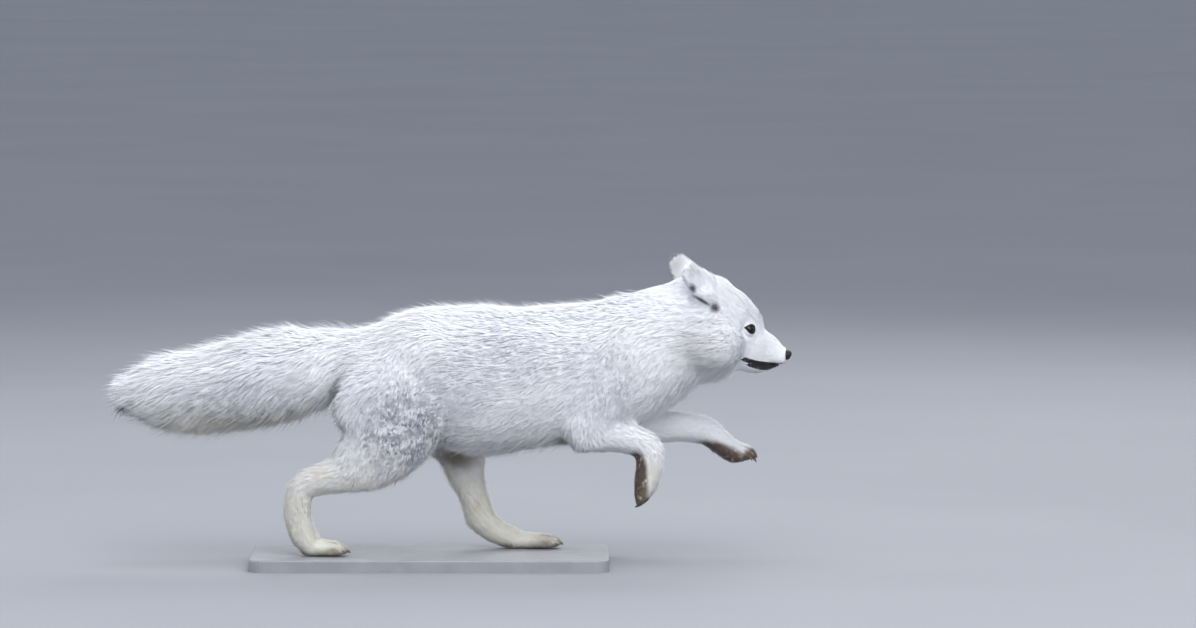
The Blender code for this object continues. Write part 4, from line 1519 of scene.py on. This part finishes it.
def leather_material(name, colour, scale, depth, roughness):
    """Dark bare skin with a fine pebbled grain."""
    made, shader, p = new_material(name)
    cells = p.node("ShaderNodeTexVoronoi", {"Vector": p.place, "Scale": scale}, feature="SMOOTH_F1")
    grain = cells.outputs["Distance"]
    inputs = {
        "Base Color": p.mix(p.step(grain, 0.15, 0.75), tuple(colour), toned(colour, 1.9, 0.002)),
        "Roughness": p.maths("ADD", p.times(p.noise(300.0), 0.25), roughness),
        "Normal": p.bump(grain, 0.8, depth, invert=True),
        "Specular IOR Level": 0.28,
    }
    p.feed(shader, inputs)
    return made


# How square the nose pad is: 2 is an ellipsoid
NOSE_SQUARENESS = 2.5
# How much it narrows downwards and by what power, how far its front is flattened and drawn
# back below, and how far its front tips up
NOSE_NARROWS = (0.28, 1.2)
NOSE_FLAT, NOSE_UNDERCUT, NOSE_TIPPED = 0.0012, 0.0018, 0.0005
# A nostril's round hole and the slot that curls back from it: centre on the left in the nose's
# own measure, radii and depth
NOSTRIL = ((0.0058, 0.0036, -0.0002), (0.0052, 0.0024, 0.0021), 0.0032)
NOSTRIL_SLOT = ((0.0028, 0.0064, -0.0012), (0.0042, 0.0034, 0.0013), 0.0022)
# The groove down the front of the nose: its depth and half width
NOSE_GROOVE = (0.0010, 0.0007)


def make_nose(look):
    """The bare nose pad, with a nostril each side that curls out and back."""
    bpy.ops.object.select_all(action="DESELECT")
    bpy.ops.mesh.primitive_uv_sphere_add(segments=64, ring_count=40, radius=1.0)
    nose = bpy.context.object
    nose.name = "nose_pad"
    mesh = nose.data
    p = vertex_places(mesh)
    p = np.stack((p[:, 2], p[:, 0], p[:, 1]), axis=1)
    p /= (np.abs(p) ** NOSE_SQUARENESS).sum(axis=1, keepdims=True) ** (1 / NOSE_SQUARENESS)
    x, y, z = p[:, 0].copy(), p[:, 1].copy(), p[:, 2].copy()
    share, power = NOSE_NARROWS
    width = 1.0 - share * np.clip(-z, 0, 1) ** power
    flat = np.clip(x, 0, 1)
    p[:, 0] = x * NOSE_RADII[0] - NOSE_FLAT * flat**4 - NOSE_UNDERCUT * np.clip(-z, 0, 1) * flat
    p[:, 1] = y * NOSE_RADII[1] * width
    p[:, 2] = z * NOSE_RADII[2] + NOSE_TIPPED * flat
    for side in (-1, 1):
        mirror = np.array((1.0, side, 1.0))
        centre, radii, deep = NOSTRIL
        p[:, 0] -= deep * fall_off(p, centre * mirror, radii)
        centre, radii, deep = NOSTRIL_SLOT
        p[:, 1] -= side * deep * fall_off(p, centre * mirror, radii)
    deep, half = NOSE_GROOVE
    p[:, 0] -= deep * np.exp(-((p[:, 1] / half) ** 2)) * np.clip(-z * 1.4 + 0.5, 0, 1) * flat
    move_vertices(mesh, p)
    with edited(nose):
        bpy.ops.mesh.normals_make_consistent(inside=False)
    nose.matrix_world = HEAD @ Matrix.Translation(NOSE_UVW)
    settle(nose)
    bpy.ops.object.shade_smooth()
    mesh.materials.append(leather_material("nose_leather", look.leather, 1500.0, 0.0004, 0.42))
    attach(nose, BODY)
    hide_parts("nose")


def tube(name, points, radii, material, closed=False):
    """A solid tube with its own radius at each point, as a curve made into a mesh."""
    curve = bpy.data.curves.new(name, "CURVE")
    curve.dimensions = "3D"
    curve.bevel_depth = 1.0
    curve.bevel_resolution = 3
    curve.use_fill_caps = True
    spline = curve.splines.new("POLY")
    spline.points.add(len(points) - 1)
    spline.use_cyclic_u = closed
    for point, place, radius in zip(spline.points, points, radii):
        point.co = (*place, 1.0)
        point.radius = radius
    only(added(name, curve))
    bpy.ops.object.convert(target="MESH")
    made = bpy.context.object
    with edited(made):
        bpy.ops.mesh.remove_doubles(threshold=MERGED)
        bpy.ops.mesh.normals_make_consistent(inside=False)
    bpy.ops.object.shade_smooth()
    made.data.materials.clear()
    made.data.materials.append(material)
    return made


RIM_RADIUS = 0.00078
RIM_STEPS = 56
# How far the middle of the rim stands off the eyeball
RIM_RAISED = 0.0004


def make_lid_rims(look):
    """The dark edge of the lids, an almond ring on each eyeball."""
    material = leather_material("lid_leather", look.leather, 2500.0, 0.0002, 0.25)
    back, front, high = SLIT
    for word, side in SIDES:
        out, along, up = eye_axes(side)
        centre = eye_centre(side)
        points = []
        for k in range(RIM_STEPS):
            turn = 2 * math.pi * (k + 0.5) / RIM_STEPS
            c, s = math.cos(turn), math.sin(turn)
            a = c * (back if c < 0 else front)
            b = s * high * (abs(s) if c < 0 else 1.0)
            lift = math.sqrt((EYE_RADIUS + RIM_RAISED) ** 2 - a * a - b * b)
            points.append(HEAD @ (centre + along * a + up * b + out * lift))
        rim = tube("lid_rim_" + word, points, [RIM_RADIUS] * RIM_STEPS, material, closed=True)
        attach(rim, BODY)


# Each lip's piece, its line along the mouth, and how far above that line it lies
LIPS = (("lip_upper", upper_lip, 0.0004), ("lip_lower", lower_lip, -0.0010))
# A lip's radius at its ends, and how much thicker its middle half is
LIP_THIN, LIP_THICKER = 0.0007, 0.0005
# Points along each side of a lip and round its front, how far it lies in the skin, and how
# far round the front the mouth's line goes on
LIP_SIDE_STEPS, LIP_FRONT_STEPS = 14, 19
LIP_SUNK = 0.0004
LIP_ROUND = 0.025
# Rays to the muzzle start this far out beside it, and this far from the centre in front
BESIDE_MUZZLE, BEFORE_MUZZLE = 0.06, 0.07
RAY_LENGTH = 0.12


def lip_path(tree, level, lift):
    """Where a lip runs, from the right corner round the front to the left one."""
    flanks = []
    for side in (-1, 1):
        row = []
        for k in range(LIP_SIDE_STEPS):
            u = LIP_CORNER + (LIP_CENTRE - LIP_CORNER) * k / LIP_SIDE_STEPS
            row.append(((u, side * BESIDE_MUZZLE, level(u) + lift), (0, -side, 0)))
        flanks.append(row)
    front = []
    for k in range(LIP_FRONT_STEPS):
        turn = math.pi * (k / (LIP_FRONT_STEPS - 1) - 0.5)
        c, s = math.cos(turn), math.sin(turn)
        high = level(LIP_CENTRE + LIP_ROUND * c) + lift
        start = (LIP_CENTRE + BEFORE_MUZZLE * c, BEFORE_MUZZLE * s, high)
        front.append((start, (-c, -s, 0)))
    found = []
    for start, way in flanks[0] + front + flanks[1][::-1]:
        ahead = (HEAD.to_3x3() @ Vector(way)).normalized()
        hit = tree.ray_cast(HEAD @ Vector(start), ahead, RAY_LENGTH)[0]
        if hit is not None:
            found.append(hit + ahead * LIP_SUNK)
    return found


def relaxed_line(points, rounds):
    """The same line, smoothed, with its ends kept."""
    for _ in range(rounds):
        between = [(a + b * 2 + c) / 4 for a, b, c in zip(points, points[1:], points[2:])]
        points = [points[0]] + between + [points[-1]]
    return points


def make_lips(look, skin):
    """Two dark lips that lie along the mouth and thin out towards its corners."""
    material = leather_material("lip_leather", look.leather, 1800.0, 0.0002, 0.30)
    tree = BVHTree.FromObject(skin, bpy.context.evaluated_depsgraph_get())
    for name, level, lift in LIPS:
        points = relaxed_line(lip_path(tree, level, lift), 2)
        count = len(points)
        ends = [min(k, count - 1 - k) / (count / 2) for k in range(count)]
        radii = [LIP_THIN + LIP_THICKER * min(1, end * 2.0) for end in ends]
        lip = tube(name, points, radii, material)
        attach(lip, BODY)


# Roots of the whiskers, as u and w on the side of the muzzle, and their lengths
WHISKERS = [
    (0.0870, -0.0360, 0.022),
    (0.0840, -0.0405, 0.030),
    (0.0810, -0.0350, 0.034),
    (0.0785, -0.0400, 0.042),
    (0.0755, -0.0350, 0.046),
    (0.0730, -0.0405, 0.052),
    (0.0700, -0.0360, 0.050),
]
WHISKER_STEPS = 9
WHISKER_RADIUS = 0.00016


def make_whiskers(skin):
    """Fine white whiskers that sweep out, back and a little down from the muzzle."""
    material, shader, p = new_material("whisker")
    whites = p.mix(p.noise(200.0), (0.62, 0.62, 0.64, 1), (0.86, 0.86, 0.88, 1))
    p.feed(shader, {"Base Color": whites, "Roughness": 0.4})
    tree = BVHTree.FromObject(skin, bpy.context.evaluated_depsgraph_get())
    turn = HEAD.to_3x3()
    made = []
    for side in (-1, 1):
        for u, w, length in WHISKERS:
            start = HEAD @ Vector((u, side * BESIDE_MUZZLE, w))
            root = tree.ray_cast(start, turn @ Vector((0, -side, 0)), RAY_LENGTH)[0]
            points, radii = [], []
            for k in range(WHISKER_STEPS):
                t = k / (WHISKER_STEPS - 1)
                out = side * (0.80 * t - 0.12 * t * t)
                bow = Vector((-0.62 * t - 0.30 * t * t, out, 0.02 * t - 0.34 * t * t))
                points.append(root + turn @ bow * length)
                radii.append(WHISKER_RADIUS * (1 - 0.8 * t))
            made.append(tube("whisker", points, radii, material))
    whiskers = joined("whiskers", made)
    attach(whiskers, BODY)


# Each toe's place across the foot, and how far ahead of the foot's tip it is
TOES = [(-0.0125, -0.0060), (-0.0044, 0.0), (0.0044, 0.0), (0.0125, -0.0060)]
CLAW_AHEAD = 0.0101
# A claw's radius at each of its points, the way between two, its droop at the root and its curve
CLAW_RADII = (0.0016, 0.0015, 0.0012, 0.0008, 0.0003)
CLAW_STEP = 0.0016
CLAW_DROOP = 0.15
CLAW_CURVE = math.radians(13.0)


def make_claws():
    """Curved tapering claws, four on each foot, joined into one piece."""
    horn, shader, p = new_material("claw_horn")
    grain = p.step(p.noise(900.0, 4.0), 0.3, 0.7)
    browns = p.mix(grain, (0.055, 0.045, 0.040, 1), (0.16, 0.13, 0.11, 1))
    p.feed(shader, {"Base Color": browns, "Roughness": 0.35})
    made = []
    for tip, before in FOOT_TIPS:
        tip, before = Vector(raised(tip)), Vector(raised(before))
        along = (tip - before).normalized()
        side = Vector((0, 1, 0))
        up = along.cross(side)
        for across, ahead in TOES:
            place = tip + along * (ahead + CLAW_AHEAD) + side * across
            points, turn = [], CLAW_DROOP
            for _ in CLAW_RADII:
                points.append(place.copy())
                place = place + (along * math.cos(turn) - up * math.sin(turn)) * CLAW_STEP
                turn += CLAW_CURVE
            made.append(tube("claw", points, CLAW_RADII, horn))
    claws = joined("claws", made)
    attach(claws, BODY)


# ------------------------------------------------------------------ display base and stage


def finish_base():
    """Matt grey paint with a fine orange-peel on the display base."""
    paint, shader, p = new_material("base_paint")
    mottle = p.step(p.noise(30.0, 4.0), 0.3, 0.7)
    inputs = {
        "Base Color": p.mix(mottle, (0.235, 0.240, 0.255, 1), (0.275, 0.280, 0.295, 1)),
        "Roughness": p.maths("ADD", p.times(p.noise(80.0), 0.2), 0.42),
        "Normal": p.bump(p.noise(700.0, 2.0), 0.25, 0.0003),
    }
    p.feed(shader, inputs)
    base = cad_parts["stand_base"]
    base.data.materials.clear()
    base.data.materials.append(paint)


# The studio's round lamps: place, what it is aimed at, size, power and colour
LAMPS = {
    "key": ((0.6, -5.0, 5.2), (0.05, 0.0, 0.2), 4.5, 275.0, (1.0, 0.985, 0.96)),
    "fill": ((1.5, -2.9, 1.2), (0.12, 0.0, 0.2), 2.4, 44.0, (0.93, 0.96, 1.0)),
    "overhead": ((0.1, -0.3, 3.2), (0.05, 0.0, 0.2), 2.4, 38.0, (0.98, 0.99, 1.0)),
    "rim": ((1.0, 2.8, 2.4), (0.05, 0.0, 0.2), 2.4, 46.0, (1.0, 0.99, 0.97)),
    "behind": ((-2.8, 1.3, 1.7), (0.0, 0.0, 0.2), 2.4, 34.0, (0.97, 0.98, 1.0)),
}


def add_lamp(name, place, aim, size, power, colour):
    lamp = bpy.data.lights.new(name, "AREA")
    lamp.shape = "DISK"
    lamp.size = size
    lamp.energy = power
    lamp.color = colour
    obj = added(name, lamp)
    obj.location = place
    obj.rotation_euler = (Vector(aim) - Vector(place)).to_track_quat("-Z", "Y").to_euler()


# Middle of the view on the fox, measured along X and up from the base's top
VIEW_MIDDLE = (0.2016, 0.2868)
FLOOR_SIZE = 90.0
SKY = (0.80, 0.86, 1.0, 1)
SKY_STRENGTH = 0.72


def make_stage(look):
    """Camera, floor, lamps and the even light of the room."""
    scene = bpy.context.scene
    middle_x, middle_z = VIEW_MIDDLE
    aim = Vector((middle_x, 0.0, middle_z + TOP))
    back = Vector((0, -math.cos(look.elevation), math.sin(look.elevation)))
    camera = added("camera", bpy.data.cameras.new("camera"))
    camera.location = aim + back * look.distance
    camera.rotation_euler = (-back).to_track_quat("-Z", "Y").to_euler()
    camera.data.lens = camera.data.sensor_width * look.distance / look.width
    camera.data.clip_end = 100.0
    scene.camera = camera

    bpy.ops.object.select_all(action="DESELECT")
    bpy.ops.mesh.primitive_plane_add(size=FLOOR_SIZE, location=(0, 0, 0))
    floor = bpy.context.object
    floor.name = "floor"
    paint, shader, p = new_material("floor_paint")
    greys = p.mix(p.noise(1.5, 2.0), (0.24, 0.25, 0.27, 1), (0.28, 0.29, 0.31, 1))
    p.feed(shader, {"Base Color": greys, "Roughness": 0.8})
    floor.data.materials.append(paint)

    world = bpy.data.worlds.new("studio")
    world.use_nodes = True
    sky = world.node_tree.nodes["Background"]
    sky.inputs["Color"].default_value = SKY
    sky.inputs["Strength"].default_value = SKY_STRENGTH
    scene.world = world
    for name, lamp in LAMPS.items():
        add_lamp(name, *lamp)
    scene.view_settings.view_transform = "Standard"


# ------------------------------------------------------------------ operators and panel


class FOX_OT_stage(bpy.types.Operator):
    """Add the camera, floor and studio lights"""

    bl_idname = "fox.stage"
    bl_label = "Stage"

    def execute(self, context):
        make_stage(context.scene.fox_stage)
        return {"FINISHED"}


class FOX_OT_skin(bpy.types.Operator):
    """Grow one skin in place of the nodes of flesh"""

    bl_idname = "fox.skin"
    bl_label = "Skin"

    def execute(self, context):
        skin = grow_skin(context.scene.fox_skin)
        skin.data.materials.clear()
        skin.data.materials.append(skin_material(context.scene.fox_coat, context.scene.fox_face))
        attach(skin, BODY)
        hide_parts(*FLESH)
        return {"FINISHED"}


class FOX_OT_coat(bpy.types.Operator):
    """Cover the skin in locks of hair"""

    bl_idname = "fox.coat"
    bl_label = "Coat"

    def execute(self, context):
        grow_coat(context.scene.fox_coat, bpy.data.objects["skin"])
        return {"FINISHED"}


class FOX_OT_eyes(bpy.types.Operator):
    """Add the eyeballs and the dark rims of their lids"""

    bl_idname = "fox.eyes"
    bl_label = "Eyes"

    def execute(self, context):
        make_eyes(context.scene.fox_face)
        return {"FINISHED"}


class FOX_OT_nose(bpy.types.Operator):
    """Add the nose pad"""

    bl_idname = "fox.nose"
    bl_label = "Nose"

    def execute(self, context):
        make_nose(context.scene.fox_face)
        return {"FINISHED"}


class FOX_OT_lips(bpy.types.Operator):
    """Add the dark lips"""

    bl_idname = "fox.lips"
    bl_label = "Lips"

    def execute(self, context):
        make_lips(context.scene.fox_face, bpy.data.objects["skin"])
        return {"FINISHED"}


class FOX_OT_whiskers(bpy.types.Operator):
    """Add the whiskers"""

    bl_idname = "fox.whiskers"
    bl_label = "Whiskers"

    def execute(self, context):
        make_whiskers(bpy.data.objects["skin"])
        return {"FINISHED"}


class FOX_OT_claws(bpy.types.Operator):
    """Add the claws"""

    bl_idname = "fox.claws"
    bl_label = "Claws"

    def execute(self, context):
        make_claws()
        return {"FINISHED"}


class FOX_OT_base(bpy.types.Operator):
    """Paint the display base"""

    bl_idname = "fox.base"
    bl_label = "Display base"

    def execute(self, context):
        finish_base()
        return {"FINISHED"}


STEPS = (
    FOX_OT_stage,
    FOX_OT_base,
    FOX_OT_skin,
    FOX_OT_eyes,
    FOX_OT_nose,
    FOX_OT_lips,
    FOX_OT_whiskers,
    FOX_OT_claws,
    FOX_OT_coat,
)


class FOX_PT_panel(bpy.types.Panel):
    """The steps that dress the fox, in order"""

    bl_idname = "FOX_PT_panel"
    bl_label = "Arctic fox"
    bl_space_type = "VIEW_3D"
    bl_region_type = "UI"
    bl_category = "Fox"

    def draw(self, context):
        for step in STEPS:
            self.layout.operator(step.bl_idname)
        for group in SETTINGS:
            settings = getattr(context.scene, group)
            for name in settings.bl_rna.properties.keys():
                if name not in ("rna_type", "name"):
                    self.layout.prop(settings, name)


SETTINGS = {
    "fox_coat": FoxCoatSettings,
    "fox_skin": FoxSkinSettings,
    "fox_face": FoxFaceSettings,
    "fox_stage": FoxStageSettings,
}


def register():
    for cls in (*SETTINGS.values(), *STEPS, FOX_PT_panel):
        bpy.utils.register_class(cls)
    for name, cls in SETTINGS.items():
        setattr(bpy.types.Scene, name, PointerProperty(type=cls))


def unregister():
    for name in SETTINGS:
        delattr(bpy.types.Scene, name)
    for cls in (FOX_PT_panel, *reversed(STEPS), *SETTINGS.values()):
        bpy.utils.unregister_class(cls)


def main():
    register()
    bpy.ops.fox.stage()
    bpy.ops.fox.base()
    bpy.ops.fox.skin()
    bpy.ops.fox.eyes()
    bpy.ops.fox.nose()
    bpy.ops.fox.lips()
    bpy.ops.fox.whiskers()
    bpy.ops.fox.claws()
    bpy.ops.fox.coat()


if __name__ == "__main__":
    main()
